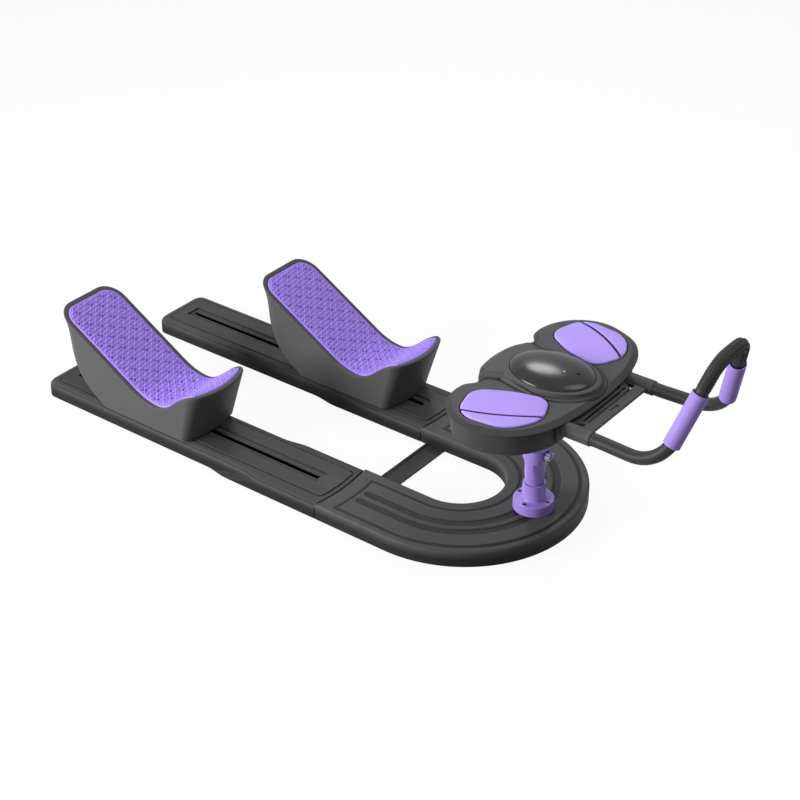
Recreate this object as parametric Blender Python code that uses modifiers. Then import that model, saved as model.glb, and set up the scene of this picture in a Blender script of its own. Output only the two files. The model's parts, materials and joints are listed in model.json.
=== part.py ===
"""Abdominal core trainer: a U-shaped base with two rails, a knee cradle that rolls along each rail,
and an elbow panel with a handlebar that swivels on a column.

Units are metres, +Z is up, and +X runs along the rails towards the handlebar. The driving
dimensions come first. Each assembly is built in its own local frame and hangs from an empty.
"""
from math import cos, hypot, pi, radians, sin, tan

import bmesh
import bpy
from mathutils import Matrix, Vector

# Clearances
GAP = 0.0003
RUNNING_GAP = 0.0003
OVERSHOOT = 0.010
EMBED = 0.001

# U-shaped base
TRACK_SPACING = 0.320
BASE_HEIGHT = 0.036
FOOT_HEIGHT = 0.003
FLOOR_PLATE = 0.003
SHELL_WALL = 0.003
SHELL_ROOF = 0.0027
BASE_STRAIGHT = 0.158
BASE_ARM_WIDTH = 0.148
BASE_HOLE_SETBACK = 0.005
BASE_FILLET = 0.008
JOINT_BOW = 0.008
JOINT_GAP = 0.002

# Raised plateau on the base, with its groove and its two bands
DECK_STEP = 0.0013
PLATEAU_OUTER_MARGIN = 0.017
PLATEAU_INNER_MARGIN = 0.027
PLATEAU_END_MARGIN = 0.034
PLATEAU_EDGE = 0.0006
GROOVE_WIDTH = 0.0022
GROOVE_DEPTH = 0.0012
BAND_OFFSET = 0.0105
BAND_WIDTH = 0.006
BAND_DEPTH = 0.0014
BAND_START = 0.048

# Cross bar between the arms
BAR_X = 0.0125
BAR_WIDTH = 0.042
BAR_THICKNESS = 0.0050
BAR_RIM = 0.005
BAR_CHANNEL_DEPTH = 0.0015
BAR_TAB = 0.022
BAR_CLEARANCE = 0.0005

# Rails
RAIL_LENGTH = 0.702
RAIL_REAR_WIDTH = 0.133
RAIL_CORNER = 0.022
RAIL_FILLET = 0.013
FLARE_LENGTH = 0.055
FLARE_LOW_X = -0.243
FLARE_HIGH_X = -0.160
DECK_WIDTH = 0.096
DECK_THICKNESS = 0.003
DECK_END_MARGIN = 0.020
DECK_FRONT_MARGIN = 0.010
DECK_CORNER = 0.010
CHANNEL_WIDTH = 0.034
CHANNEL_END = 0.008
SLOT_WIDTH = 0.011
SLOT_REAR_MARGIN = 0.050
SLOT_FRONT_MARGIN = 0.050

# Roller tracks, buffers and joint plates inside the rails
TRACK_WIDTH = 0.060
TRACK_WALL = 0.0012
STOP_THICKNESS = 0.008
STOP_PROUD = 0.001
LINK_WIDTH = 0.050
LINK_THICKNESS = 0.003
LINK_RISE = 0.0044
LINK_REACH = 0.034

# Feet
FOOT_RADIUS = 0.011
FOOT_INSET = 0.050

# Cradle tubs
CRADLE_LENGTH = 0.3455
CRADLE_WIDTH = 0.150
CRADLE_REAR_CORNER = 0.038
CRADLE_FRONT_CORNER = 0.022
CRADLE_FRONT_BOW = 0.0165
CRADLE_BOW_START = 0.205
CRADLE_CLEARANCE = 0.004
CRADLE_FLOOR_REAR = 0.092
CRADLE_FLOOR_FRONT = 0.316
CRADLE_FLOOR_WIDTH = 0.143
CRADLE_BACK_BULGE = 0.015
BULGE_FADE_START = 0.35
CRADLE_WALL = 0.0035
CRADLE_PLATE = 0.003
VALLEY_X = 0.250
VALLEY_RISE = 0.052
SLOPE = 0.585
VALLEY_CURVE = 4.9
LIP_RISE = 0.051
RIM_WIDTH = 0.0065
RIM_ROUND = 0.0022
RIM_BREAK = 0.3

# Knee mats
MAT_RECESS = 0.004
MAT_PROUD = 0.0020
MAT_CROWN = 0.0016
MAT_TUCK = 0.0010
MAT_SHOULDER = 0.010

# Carriages, rollers and axles
CARRIAGE_OFFSET = 0.209
CARRIAGE_X = {"right": -0.4296, "left": -0.2002}
BLOCK_LENGTH = 0.110
BLOCK_SIDE_PLAY = 0.001
SHOE_SIDE_PLAY = 0.002
TRUCK_WIDTH = 0.034
TRUCK_TOP_PLAY = 0.0005
TRUCK_FLOOR_PLAY = 0.0018
FORK_ROOF = 0.004
FORK_PLAY = 0.0005
AXLE_SPACING = 0.072
AXLE_RADIUS = 0.003
AXLE_HEAD_RADIUS = 0.005
AXLE_HEAD = 0.0015
ROLLER_WIDTH = 0.016
ROLLER_CROWN = 0.001

# Column foot
COLUMN_SETBACK = 0.0025
FLANGE_RADIUS = 0.0375
FLANGE_HEIGHT = 0.020
FLANGE_EDGE = 0.002
FLANGE_SEAT_MARGIN = 0.004
COLLAR_WALL = 0.0064
COLLAR_HEIGHT = 0.0327
COLLAR_FILLET = 0.003
SCREW_COUNT = 4
SCREW_INSET = 0.0075
SCREW_RADIUS = 0.0036
SCREW_HEIGHT = 0.0022
SCREW_CROWN = 0.7
SCREW_SOCKET = 0.45

# Neck, clamp band and post
SPIGOT_RADIUS = 0.0145
SPIGOT_LENGTH = 0.040
POST_RADIUS = 0.0125
POST_WALL = 0.0018
POST_DEPTH = 0.0445
NECK_WALL = 0.0037
NECK_FLARE = 0.0045
NECK_HEIGHT = 0.0537
NECK_FLOOR = 0.0040
NECK_CURVE = 0.75
FLUTE_COUNT = 4
FLUTE_WIDTH = 0.015
FLUTE_DEPTH = 0.0030
FLUTE_MARGIN = 0.007
BAND_RING_RADIUS = 0.0232
BAND_RING_HEIGHT = 0.020
EAR_ANGLE = 3
EAR_REACH = 0.008
EAR_WIDTH = 0.012
EAR_MARGIN = 0.003
BAND_SPLIT = 0.0024
BOLT_RADIUS = 0.0025
BOLT_HEAD_RADIUS = 0.0042
BOLT_HEAD = 0.003

# Elbow panel
PANEL_TOP = 0.318
PANEL_POINTS = (
    (-0.0895, 0.0), (-0.0840, 0.045), (-0.0670, 0.080), (-0.0820, 0.104), (-0.0855, 0.130), (-0.0790, 0.160),
    (-0.0600, 0.190), (-0.0300, 0.211), (0.0030, 0.2175), (0.0400, 0.209), (0.0740, 0.192), (0.0960, 0.167),
    (0.1100, 0.140), (0.1200, 0.105), (0.1265, 0.060), (0.1295, 0.0),
)
COVER_THICKNESS = 0.0068
COVER_FILLET = 0.005
TRAY_DEPTH = 0.050
TRAY_INSET = 0.008
TRAY_WALL = 0.0035
TRAY_FLOOR = 0.004
TRAY_EDGE = 0.004
TRAY_FRONT = 0.1095
SOCKET_WALL = 0.009
SOCKET_DROP = 0.010
POST_HEADROOM = 0.022

# Raised middle, bezel, dome and counter
BOSS_X = 0.0295
BOSS_HEIGHT = 0.0135
BOSS_LENGTH_MARGIN = 0.020
BOSS_WIDTH_MARGIN = 0.035
BOSS_FOOT_X = 0.0205
BOSS_FOOT_LENGTH = 0.2105
BOSS_FOOT_WIDTH = 0.160
BOSS_SHARES = (-0.2, 0.0, 0.3, 0.5, 0.7, 0.85, 1.0)
BEZEL_HEIGHT = 0.0035
BEZEL_STEP = 0.002
BEZEL_SLOPE = 0.003
DOME_X = 0.0255
DOME_LENGTH = 0.158
DOME_WIDTH = 0.110
DOME_HEIGHT = 0.017
DOME_WALL = 0.0022
MODULE_LENGTH = 0.060
MODULE_WIDTH = 0.036
MODULE_HEIGHT = 0.007

# Elbow pads
PAD_CORNERS = ((-0.0550, 0.204), (-0.0550, 0.107), (0.0750, 0.0785), (0.0885, 0.146), (0.0540, 0.194))
PAD_RADII = (0.046, 0.024, 0.016, 0.034, 0.045)
PAD_RECESS = 0.0025
PAD_THICKNESS = 0.0045
PAD_CROWN = 0.0018
PAD_SHOULDER = 0.009
SEAM_POINTS = ((-0.0750, 0.185), (0.0130, 0.169), (0.1120, 0.101))
SEAM_WIDTH = 0.0018
SEAM_DEPTH = 0.0030

# Handle bracket
HANDLE_SPREAD = 0.199
HANDLE_CLEARANCE = 0.0005
SLEEVE_RADIUS = 0.0133
SLEEVE_LENGTH = 0.0605
SLEEVE_EDGE = 0.001
BRACKET_PLATE = 0.004
BRACKET_MARGIN = 0.018
BRACKET_CLEARANCE = 0.0018
BRACKET_LOW_MARGIN = 0.008
WEB_THICKNESS = 0.006
BEAM_LENGTH = 0.018
BEAM_SETBACK = 0.010
GUSSET_WIDTH = 0.034
WINDOW_RIM = 0.004
RIB_RADIUS = 0.003
RIB_PITCH = 0.0105
NOTCH_LENGTH = 0.007
NOTCH_WIDTH = 0.024
NOTCH_DEPTH = 0.002

# Handlebar, grips and the cover of its arch
TUBE_RADIUS = 0.0115
TUBE_WALL = 0.0016
TUBE_INSERT = 0.045
TUBE_LEAD = 0.015
LEAD_RADIUS = 0.150
BEND_RADIUS = 0.071
ARCH_BEND = 0.036
GRIP_LOW_REACH = 0.2012
GRIP_LOW_TOE = 0.0077
GRIP_LOW_RISE = 0.0398
GRIP_HIGH_REACH = 0.2279
GRIP_HIGH_TOE = 0.0393
GRIP_HIGH_RISE = 0.1308
GRIP_RADIUS = 0.0143
GRIP_EDGE = 0.0015
ARCH_REACH = 0.060
ARCH_RADIUS = 0.0126
ARCH_TAPER = 0.003
ARCH_EDGE = 0.0008

SIDES = {"right": -1, "left": 1}
ARC_STEPS = 20
TURN_STEPS = 24
OVAL_STEPS = 28
CORNER_STEPS = 5
HALF_ACROSS = 3
CURVED_ROWS = 7
TUB_RINGS = 5
HOLLOW_RINGS = 3
PIN_STEPS = 12
SCREW_STEPS = 14
HOLE_STEPS = 16
BORE_STEPS = 20
POST_STEPS = 28
TUBE_SIDES_SETTING = 4
FILLET_STEPS = 3
TRAY_EDGE_STEPS = 2
END_STEPS = 6
FLARE_STEPS = 6
FRONT_STEPS = 4
BOW_STEPS = 3
NECK_STEPS = 6
SEAM_STEPS = 8
DOME_STEPS = 5

# Places that follow from the sizes
HALF_SPACING = TRACK_SPACING / 2
ARM_HALF = BASE_ARM_WIDTH / 2
OUTER_RADIUS = HALF_SPACING + ARM_HALF
INNER_RADIUS = HALF_SPACING - ARM_HALF
SHELL_TOP = BASE_HEIGHT - DECK_STEP
SLOT_REAR = SLOT_REAR_MARGIN - RAIL_LENGTH
SLOT_FRONT = -SLOT_FRONT_MARGIN
LEDGE = BASE_HEIGHT - DECK_THICKNESS - GAP
CAVITY_TOP = LEDGE - SHELL_ROOF
PLATE_TOP = FOOT_HEIGHT + FLOOR_PLATE
TRACK_LOW = PLATE_TOP + GAP
TRACK_FLOOR = TRACK_LOW + TRACK_WALL
TRUCK_TOP = CAVITY_TOP - TRUCK_TOP_PLAY
ROLLER_RADIUS = (TRUCK_TOP - FORK_ROOF - FORK_PLAY - RUNNING_GAP - TRACK_FLOOR) / 2
AXLE_Z = TRACK_FLOOR + RUNNING_GAP + ROLLER_RADIUS
CRADLE_FLOOR = BASE_HEIGHT + CRADLE_CLEARANCE
VALLEY_Z = CRADLE_FLOOR + VALLEY_RISE
COLUMN_X = BASE_STRAIGHT + HALF_SPACING - COLUMN_SETBACK
FLANGE_LOW = BASE_HEIGHT + GAP
FLANGE_TOP = FLANGE_LOW + FLANGE_HEIGHT
COLLAR_TOP = FLANGE_TOP + COLLAR_HEIGHT
COLLAR_RADIUS = SPIGOT_RADIUS + RUNNING_GAP + COLLAR_WALL
NECK_LOW = COLLAR_TOP + GAP
NECK_TOP = NECK_LOW + NECK_HEIGHT
POST_SEAT = POST_RADIUS + GAP
WAIST_RADIUS = POST_SEAT + NECK_WALL
POST_LOW = NECK_TOP - POST_DEPTH
POST_TOP = PANEL_TOP - POST_HEADROOM
COVER_LOW = PANEL_TOP - COVER_THICKNESS
TRAY_LOW = PANEL_TOP - TRAY_DEPTH
TRAY_TOP = COVER_LOW - GAP
BOSS_TOP = PANEL_TOP + BOSS_HEIGHT
BOSS_LENGTH = DOME_LENGTH + BOSS_LENGTH_MARGIN
BOSS_WIDTH = DOME_WIDTH + BOSS_WIDTH_MARGIN
HANDLE_Z = COVER_LOW - HANDLE_CLEARANCE - SLEEVE_RADIUS
HANDLE_Y = HANDLE_SPREAD / 2
BRACKET_X = TRAY_FRONT + GAP
SLEEVE_END = BRACKET_X + SLEEVE_LENGTH
BEAM_FRONT = SLEEVE_END - BEAM_SETBACK
BEAM_REAR = BEAM_FRONT - BEAM_LENGTH
ALONG_X = Matrix.Rotation(pi / 2, 4, "Y")
ALONG_Y = Matrix.Rotation(pi / 2, 4, "X")

MATERIALS = {
    "black_plastic": ((0.055, 0.055, 0.058), 0.45, 0.0),
    "black_steel": ((0.030, 0.030, 0.032), 0.40, 0.6),
    "zinc_steel": ((0.55, 0.55, 0.57), 0.35, 1.0),
    "purple_plastic": ((0.28, 0.19, 0.60), 0.35, 0.0),
    "purple_foam": ((0.42, 0.30, 0.85), 0.70, 0.0),
    "lilac_pad": ((0.45, 0.34, 0.95), 0.60, 0.0),
    "gloss_black": ((0.012, 0.012, 0.013), 0.08, 0.0),
    "black_rubber": ((0.020, 0.020, 0.020), 0.80, 0.0),
    "circuit_green": ((0.02, 0.12, 0.06), 0.50, 0.0),
}


def clear_scene():
    """Removes whatever the file holds."""
    for item in list(bpy.data.objects):
        bpy.data.objects.remove(item, do_unlink=True)


def make_collection(name):
    """Returns a new collection linked to the scene."""
    group = bpy.data.collections.new(name)
    bpy.context.scene.collection.children.link(group)
    return group


def make_materials():
    """Returns one Principled material for each finish."""
    made = {}
    for name, (color, roughness, metallic) in MATERIALS.items():
        finish = bpy.data.materials.new(name)
        finish.use_nodes = True
        shader = finish.node_tree.nodes["Principled BSDF"]
        shader.inputs["Base Color"].default_value = (*color, 1.0)
        shader.inputs["Roughness"].default_value = roughness
        shader.inputs["Metallic"].default_value = metallic
        made[name] = finish
    return made


def make_empty(name, location, parent=None):
    """Returns an empty that carries an assembly."""
    empty = bpy.data.objects.new(name, None)
    empty.location = location
    empty.parent = parent
    PARTS.objects.link(empty)
    return empty


def add_part(name, mesh, finish, parent, location=(0, 0, 0), smooth=35):
    """Adds a mesh to the parts as one named sub-part."""
    part = bpy.data.objects.new(name, mesh)
    mesh.materials.clear()
    mesh.materials.append(FINISHES[finish])
    mesh.shade_smooth()
    mesh.set_sharp_from_angle(angle=radians(smooth))
    part.parent = parent
    part.location = location
    PARTS.objects.link(part)
    return part


def at(x, y, z):
    """Returns a translation."""
    return Matrix.Translation((x, y, z))


def moved(mesh, matrix):
    """Returns a copy of the mesh placed by a matrix."""
    copy = mesh.copy()
    copy.transform(matrix)
    return copy


def mesh_of(shape, name):
    """Returns a finished bmesh as a mesh."""
    mesh = bpy.data.meshes.new(name)
    shape.to_mesh(mesh)
    shape.free()
    return mesh


def helper(data, name):
    """Wraps a mesh or a curve in a hidden object in the cutters' collection."""
    tool = bpy.data.objects.new(name, data)
    tool.hide_render = True
    tool.display_type = "WIRE"
    CUTTERS.objects.link(tool)
    return tool


def evaluated(source):
    """Returns an object's mesh with its modifiers applied and its doubles welded."""
    bpy.context.view_layer.update()
    graph = bpy.context.evaluated_depsgraph_get()
    mesh = bpy.data.meshes.new_from_object(source.evaluated_get(graph))
    shape = bmesh.new()
    shape.from_mesh(mesh)
    bmesh.ops.remove_doubles(shape, verts=shape.verts, dist=0.00001)
    bmesh.ops.dissolve_degenerate(shape, edges=shape.edges, dist=0.00001)
    shape.to_mesh(mesh)
    shape.free()
    return mesh


def combine(mesh, tools, operation):
    """Returns the mesh after one exact Boolean with each tool mesh."""
    target = helper(mesh, "target")
    for tool in tools:
        step = target.modifiers.new(operation.lower(), "BOOLEAN")
        step.operation = operation
        step.solver = "EXACT"
        step.object = helper(tool, "cutter")
    result = evaluated(target)
    bpy.data.objects.remove(target)
    return result


def cut(mesh, *tools):
    """Returns the mesh with the tools taken out of it."""
    return combine(mesh, tools, "DIFFERENCE")


def fuse(mesh, *tools):
    """Returns the mesh joined to the tools as one body."""
    return combine(mesh, tools, "UNION")


def flat_solid(outline, low, high):
    """Returns a flat outline extruded between two heights."""
    curve = bpy.data.curves.new("outline", "CURVE")
    curve.dimensions = "2D"
    curve.fill_mode = "BOTH"
    curve.extrude = (high - low) / 2
    spline = curve.splines.new("POLY")
    spline.points.add(len(outline) - 1)
    for target, (x, y) in zip(spline.points, outline):
        target.co = (x, y, 0, 1)
    spline.use_cyclic_u = True
    blank = helper(curve, "outline")
    mesh = evaluated(blank)
    bpy.data.objects.remove(blank)
    shape = bmesh.new()
    shape.from_mesh(mesh)
    bmesh.ops.recalc_face_normals(shape, faces=shape.faces)
    bmesh.ops.dissolve_limit(shape, angle_limit=radians(0.05), verts=shape.verts, edges=shape.edges)
    bmesh.ops.translate(shape, vec=(0, 0, (low + high) / 2), verts=shape.verts)
    return mesh_of(shape, "plate")


def box(low, high):
    """Returns a box between two corners."""
    shape = bmesh.new()
    bmesh.ops.create_cube(shape, size=1.0)
    bmesh.ops.scale(shape, vec=[b - a for a, b in zip(low, high)], verts=shape.verts)
    bmesh.ops.translate(shape, vec=[(a + b) / 2 for a, b in zip(low, high)], verts=shape.verts)
    return mesh_of(shape, "box")


def slab(x0, x1, width, low, high):
    """Returns a box that is centred on a track's line."""
    return box((x0, -width / 2, low), (x1, width / 2, high))


def cylinder(radius, low, high, steps=24):
    """Returns an upright cylinder round the local Z axis."""
    shape = bmesh.new()
    bmesh.ops.create_cone(shape, cap_ends=True, segments=steps, radius1=radius, radius2=radius,
                          depth=high - low, matrix=at(0, 0, (low + high) / 2))
    return mesh_of(shape, "cylinder")


def turned(profile, steps=TURN_STEPS, closed=False):
    """Returns a profile of (radius, height), running down its outer side, turned round Z."""
    line = bpy.data.meshes.new("profile")
    edges = [(i, i + 1) for i in range(len(profile) - 1)]
    if closed:
        edges.append((len(profile) - 1, 0))
    line.from_pydata([(radius, 0, height) for radius, height in profile], edges, [])
    blank = helper(line, "profile")
    screw = blank.modifiers.new("turn", "SCREW")
    screw.steps = steps
    screw.render_steps = steps
    screw.use_merge_vertices = True
    screw.merge_threshold = 0.00001
    mesh = evaluated(blank)
    bpy.data.objects.remove(blank)
    return mesh


def swept(points, radius, factors=None):
    """Returns a round bar along a polyline, with filled ends and a radius factor at each point."""
    curve = bpy.data.curves.new("path", "CURVE")
    curve.dimensions = "3D"
    curve.bevel_depth = radius
    curve.bevel_resolution = TUBE_SIDES_SETTING
    curve.use_fill_caps = True
    spline = curve.splines.new("POLY")
    spline.points.add(len(points) - 1)
    for i, (target, point) in enumerate(zip(spline.points, points)):
        target.co = (*point, 1.0)
        target.radius = factors[i] if factors else 1.0
    blank = helper(curve, "path")
    mesh = evaluated(blank)
    bpy.data.objects.remove(blank)
    return mesh


def loft(rings):
    """Skins closed rings that run counter-clockwise from low to high, and caps both ends."""
    shape = bmesh.new()
    loops = [[shape.verts.new(point) for point in ring] for ring in rings]
    count = len(loops[0])
    for low, high in zip(loops, loops[1:]):
        for i in range(count):
            j = (i + 1) % count
            shape.faces.new((low[i], low[j], high[j], high[i]))
    shape.faces.new(list(reversed(loops[0])))
    shape.faces.new(loops[-1])
    return mesh_of(shape, "loft")


def grid_rows(shape, loop, outline, surface):
    """Returns rows of vertices across a mirrored loop, laid on a surface over its half outline."""
    count = len(loop)
    first, last = HALF_ACROSS, len(outline) - 1 - HALF_ACROSS
    rows = [[loop[(first - k) % count] for k in range(2 * HALF_ACROSS + 1)]]
    for i in range(first + 1, last):
        x, y = outline[i]
        inner = [shape.verts.new(surface(x, y * (1 - k / HALF_ACROSS))) for k in range(1, 2 * HALF_ACROSS)]
        rows.append([loop[i]] + inner + [loop[count - i]])
    rows.append([loop[last + k] for k in range(2 * HALF_ACROSS + 1)])
    return rows


def skin(half_rings, outlines=(None, None), surfaces=(None, None)):
    """Skins mirrored half rings, and caps each end flat or with a grid that follows a surface."""
    shape = bmesh.new()
    loops = []
    for ring in half_rings:
        mirrored = [(x, -y, z) for x, y, z in reversed(ring[1:-1])]
        loops.append([shape.verts.new(point) for point in ring + mirrored])
    count = len(loops[0])
    for low, high in zip(loops, loops[1:]):
        for i in range(count):
            j = (i + 1) % count
            shape.faces.new((low[i], low[j], high[j], high[i]))
    for loop, outline, surface, upward in zip((loops[0], loops[-1]), outlines, surfaces, (False, True)):
        if surface is None:
            shape.faces.new(loop if upward else list(reversed(loop)))
            continue
        rows = grid_rows(shape, loop, outline, surface)
        for near, far in zip(rows, rows[1:]):
            for k in range(2 * HALF_ACROSS):
                quad = [near[k], far[k], far[k + 1], near[k + 1]]
                shape.faces.new(quad if upward else list(reversed(quad)))
    return mesh_of(shape, "skin")


def roll_rim(mesh, height, width, segments, start=-1.0, end=1.0):
    """Returns the mesh with the edges that lie at one height rounded over, between two places along X."""
    shape = bmesh.new()
    shape.from_mesh(mesh)
    rim = [edge for edge in shape.edges
           if all(abs(vert.co.z - height) < GAP / 10 for vert in edge.verts)
           and edge.calc_face_angle(0) > radians(30)
           and start < (edge.verts[0].co.x + edge.verts[1].co.x) / 2 < end]
    bmesh.ops.bevel(shape, geom=rim, offset=width, offset_type="OFFSET", segments=segments,
                    profile=0.5, affect="EDGES", clamp_overlap=True)
    return mesh_of(shape, "rolled")


def arc(x, y, radius, start, end, steps=CORNER_STEPS):
    """Returns points on an arc, with its angles in degrees."""
    angles = [radians(start + (end - start) * i / steps) for i in range(steps + 1)]
    return [(x + radius * cos(angle), y + radius * sin(angle)) for angle in angles]


def ellipse(x, length, width, steps=OVAL_STEPS):
    """Returns a counter-clockwise ellipse about (x, 0)."""
    angles = [2 * pi * i / steps for i in range(steps)]
    return [(x + length / 2 * cos(angle), width / 2 * sin(angle)) for angle in angles]


def mirrored_outline(outline):
    """Returns an outline mirrored across the X axis, still counter-clockwise."""
    return [(x, -y) for x, y in reversed(outline)]


def inset(outline, distance):
    """Returns a counter-clockwise outline moved inwards by a distance."""
    result = []
    for i, (x, y) in enumerate(outline):
        ahead = outline[(i + 1) % len(outline)]
        before = (Vector((x, y)) - Vector(outline[i - 1])).normalized()
        after = (Vector(ahead) - Vector((x, y))).normalized()
        inward = Vector((-before.y - after.y, before.x + after.x)).normalized()
        reach = distance / inward.dot(Vector((-after.y, after.x)))
        result.append((x + inward.x * reach, y + inward.y * reach))
    return result


def rounded(corners, radii):
    """Returns a counter-clockwise polygon with each corner rounded to its radius."""
    result = []
    for i, radius in enumerate(radii):
        corner = Vector(corners[i])
        back = (Vector(corners[i - 1]) - corner).normalized()
        ahead = (Vector(corners[(i + 1) % len(corners)]) - corner).normalized()
        half = back.angle(ahead) / 2
        center = corner + (back + ahead).normalized() * radius / sin(half)
        start = corner + back * radius / tan(half) - center
        for k in range(CORNER_STEPS + 1):
            spot = start.copy()
            spot.rotate(Matrix.Rotation((pi - 2 * half) * k / CORNER_STEPS, 2))
            result.append((center.x + spot.x, center.y + spot.y))
    return result


def smooth_loop(points, steps=2):
    """Returns a closed Catmull-Rom curve through the points."""
    result = []
    count = len(points)
    for i in range(count):
        a, b, c, d = (Vector(points[(i + k) % count]) for k in (-1, 0, 1, 2))
        for k in range(steps):
            t = k / steps
            place = (2 * b + (c - a) * t + (2 * a - 5 * b + 4 * c - d) * t ** 2
                     + (3 * b - a - 3 * c + d) * t ** 3) / 2
            result.append((place.x, place.y))
    return result


def joint_bow(y):
    """Returns how far the bowed rail joint stands forward at a distance from a track's line."""
    return JOINT_BOW * (1 - (y / ARM_HALF) ** 2)


def base_outline(outer_margin, inner_margin, end_margin):
    """Returns the U of the base, drawn in by a margin on its outside, its inside and its two ends."""
    outer = OUTER_RADIUS - outer_margin
    inner = INNER_RADIUS + inner_margin
    hole_x = BASE_STRAIGHT - BASE_HOLE_SETBACK
    across = [inner + (outer - inner) * i / END_STEPS for i in range(END_STEPS + 1)]
    near = [(end_margin + joint_bow(y - HALF_SPACING), -y) for y in across]
    far = [(x, -y) for x, y in reversed(near)]
    return (near + arc(BASE_STRAIGHT, 0, outer, -90, 90, ARC_STEPS)
            + far + arc(hole_x, 0, inner, 90, -90, ARC_STEPS * 2 // 3))


def base_band(offset):
    """Returns a cutter for one shallow band along the middle of the U."""
    outer = HALF_SPACING + offset + BAND_WIDTH / 2
    inner = HALF_SPACING + offset - BAND_WIDTH / 2
    outline = ([(BAND_START, -outer)] + arc(BASE_STRAIGHT, 0, outer, -90, 90, ARC_STEPS)
               + [(BAND_START, outer), (BAND_START, inner)]
               + arc(BASE_STRAIGHT, 0, inner, 90, -90, ARC_STEPS) + [(BAND_START, -inner)])
    return flat_solid(outline, BASE_HEIGHT - BAND_DEPTH, BASE_HEIGHT + OVERSHOOT)


def link_slot():
    """Returns the cutter for a joint plate's slot through the end walls of a rail and the base."""
    low = PLATE_TOP + LINK_RISE - GAP
    return slab(-LINK_REACH, LINK_REACH, LINK_WIDTH + 2 * GAP, low, low + LINK_THICKNESS + 2 * GAP)


def base_shell():
    """Returns the moulded U with its raised plateau, open underneath round a boss for the column."""
    body = flat_solid(base_outline(0, 0, 0), FOOT_HEIGHT, SHELL_TOP)
    body = roll_rim(body, SHELL_TOP, BASE_FILLET, FILLET_STEPS, start=JOINT_BOW)
    margins = (PLATEAU_OUTER_MARGIN, PLATEAU_INNER_MARGIN, PLATEAU_END_MARGIN)
    edge = [margin - GROOVE_WIDTH for margin in margins]
    pocket = flat_solid(base_outline(*edge), SHELL_TOP - GROOVE_DEPTH, SHELL_TOP + OVERSHOOT)
    outline = base_outline(*margins)
    plateau = flat_solid(outline, SHELL_TOP - GROOVE_DEPTH - EMBED, BASE_HEIGHT)
    plateau = roll_rim(plateau, BASE_HEIGHT, PLATEAU_EDGE, 1)
    hollow = flat_solid(base_outline(SHELL_WALL, SHELL_WALL, SHELL_WALL), FOOT_HEIGHT - OVERSHOOT, CAVITY_TOP)
    boss = cylinder(FLANGE_RADIUS + FLANGE_SEAT_MARGIN, PLATE_TOP + GAP, BASE_HEIGHT)
    boss = moved(boss, at(COLUMN_X, 0, 0))
    slots = [moved(link_slot(), at(0, side * HALF_SPACING, 0)) for side in SIDES.values()]
    return cut(fuse(cut(body, pocket), plateau), cut(hollow, boss), base_band(-BAND_OFFSET),
               base_band(BAND_OFFSET), *slots)


def cross_bar():
    """Returns the channelled strip between the arms, with a thin tab that laps under each arm."""
    low = BAR_CLEARANCE
    reach = INNER_RADIUS - GAP
    tab = INNER_RADIUS + BAR_TAB
    bar = box((BAR_X, -reach, low), (BAR_X + BAR_WIDTH, reach, low + BAR_THICKNESS))
    tabs = box((BAR_X, -tab, low), (BAR_X + BAR_WIDTH, tab, FOOT_HEIGHT - GAP))
    channel = box((BAR_X + BAR_RIM, -reach - OVERSHOOT, low + BAR_THICKNESS - BAR_CHANNEL_DEPTH),
                  (BAR_X + BAR_WIDTH - BAR_RIM, reach + OVERSHOOT, low + BAR_THICKNESS + OVERSHOOT))
    return cut(fuse(bar, tabs), channel)


def build_base(machine):
    """Builds the U-shaped base, its floor, the cross bar, the joint plates and the feet."""
    add_part("u_base_shell", base_shell(), "black_plastic", machine)
    margin = SHELL_WALL + GAP
    floor = flat_solid(base_outline(margin, margin, margin), FOOT_HEIGHT, PLATE_TOP)
    add_part("u_base_floor", floor, "black_plastic", machine)
    add_part("cross_bar", cross_bar(), "black_steel", machine)
    low = PLATE_TOP + LINK_RISE
    for name, side in SIDES.items():
        reach = LINK_REACH - GAP
        plate = slab(-reach, reach, LINK_WIDTH, low, low + LINK_THICKNESS)
        add_part(f"joint_plate_{name}", plate, "zinc_steel", machine, (0, side * HALF_SPACING, 0))
    places = {"front": (BASE_STRAIGHT + HALF_SPACING, 0)}
    for name, side in SIDES.items():
        places[f"arm_{name}"] = (BASE_STRAIGHT - FOOT_INSET, side * HALF_SPACING)
        places[f"rail_{name}"] = (FOOT_INSET - RAIL_LENGTH, side * HALF_SPACING)
    for name, (x, y) in places.items():
        foot = cylinder(FOOT_RADIUS, 0, FOOT_HEIGHT - GAP, HOLE_STEPS)
        add_part(f"foot_{name}", foot, "black_rubber", machine, (x, y, 0))


def rail_outline(edge, flare_x):
    """Returns one rail's outline about its own line, drawn in by a margin, wider past the flare."""
    lower = arc(edge + RAIL_CORNER - RAIL_LENGTH, RAIL_CORNER - RAIL_REAR_WIDTH / 2 + edge,
                RAIL_CORNER, 180, 270)
    for k in range(FLARE_STEPS + 1):
        t = k / FLARE_STEPS
        width = RAIL_REAR_WIDTH + (BASE_ARM_WIDTH - RAIL_REAR_WIDTH) * t * t * (3 - 2 * t)
        lower.append((flare_x + FLARE_LENGTH * (t - 0.5), edge - width / 2))
    half = ARM_HALF - edge
    places = [half * (k / FRONT_STEPS - 1) for k in range(2 * FRONT_STEPS + 1)]
    front = [(joint_bow(y) - JOINT_GAP - edge, y) for y in places]
    return lower + front + mirrored_outline(lower)


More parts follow.
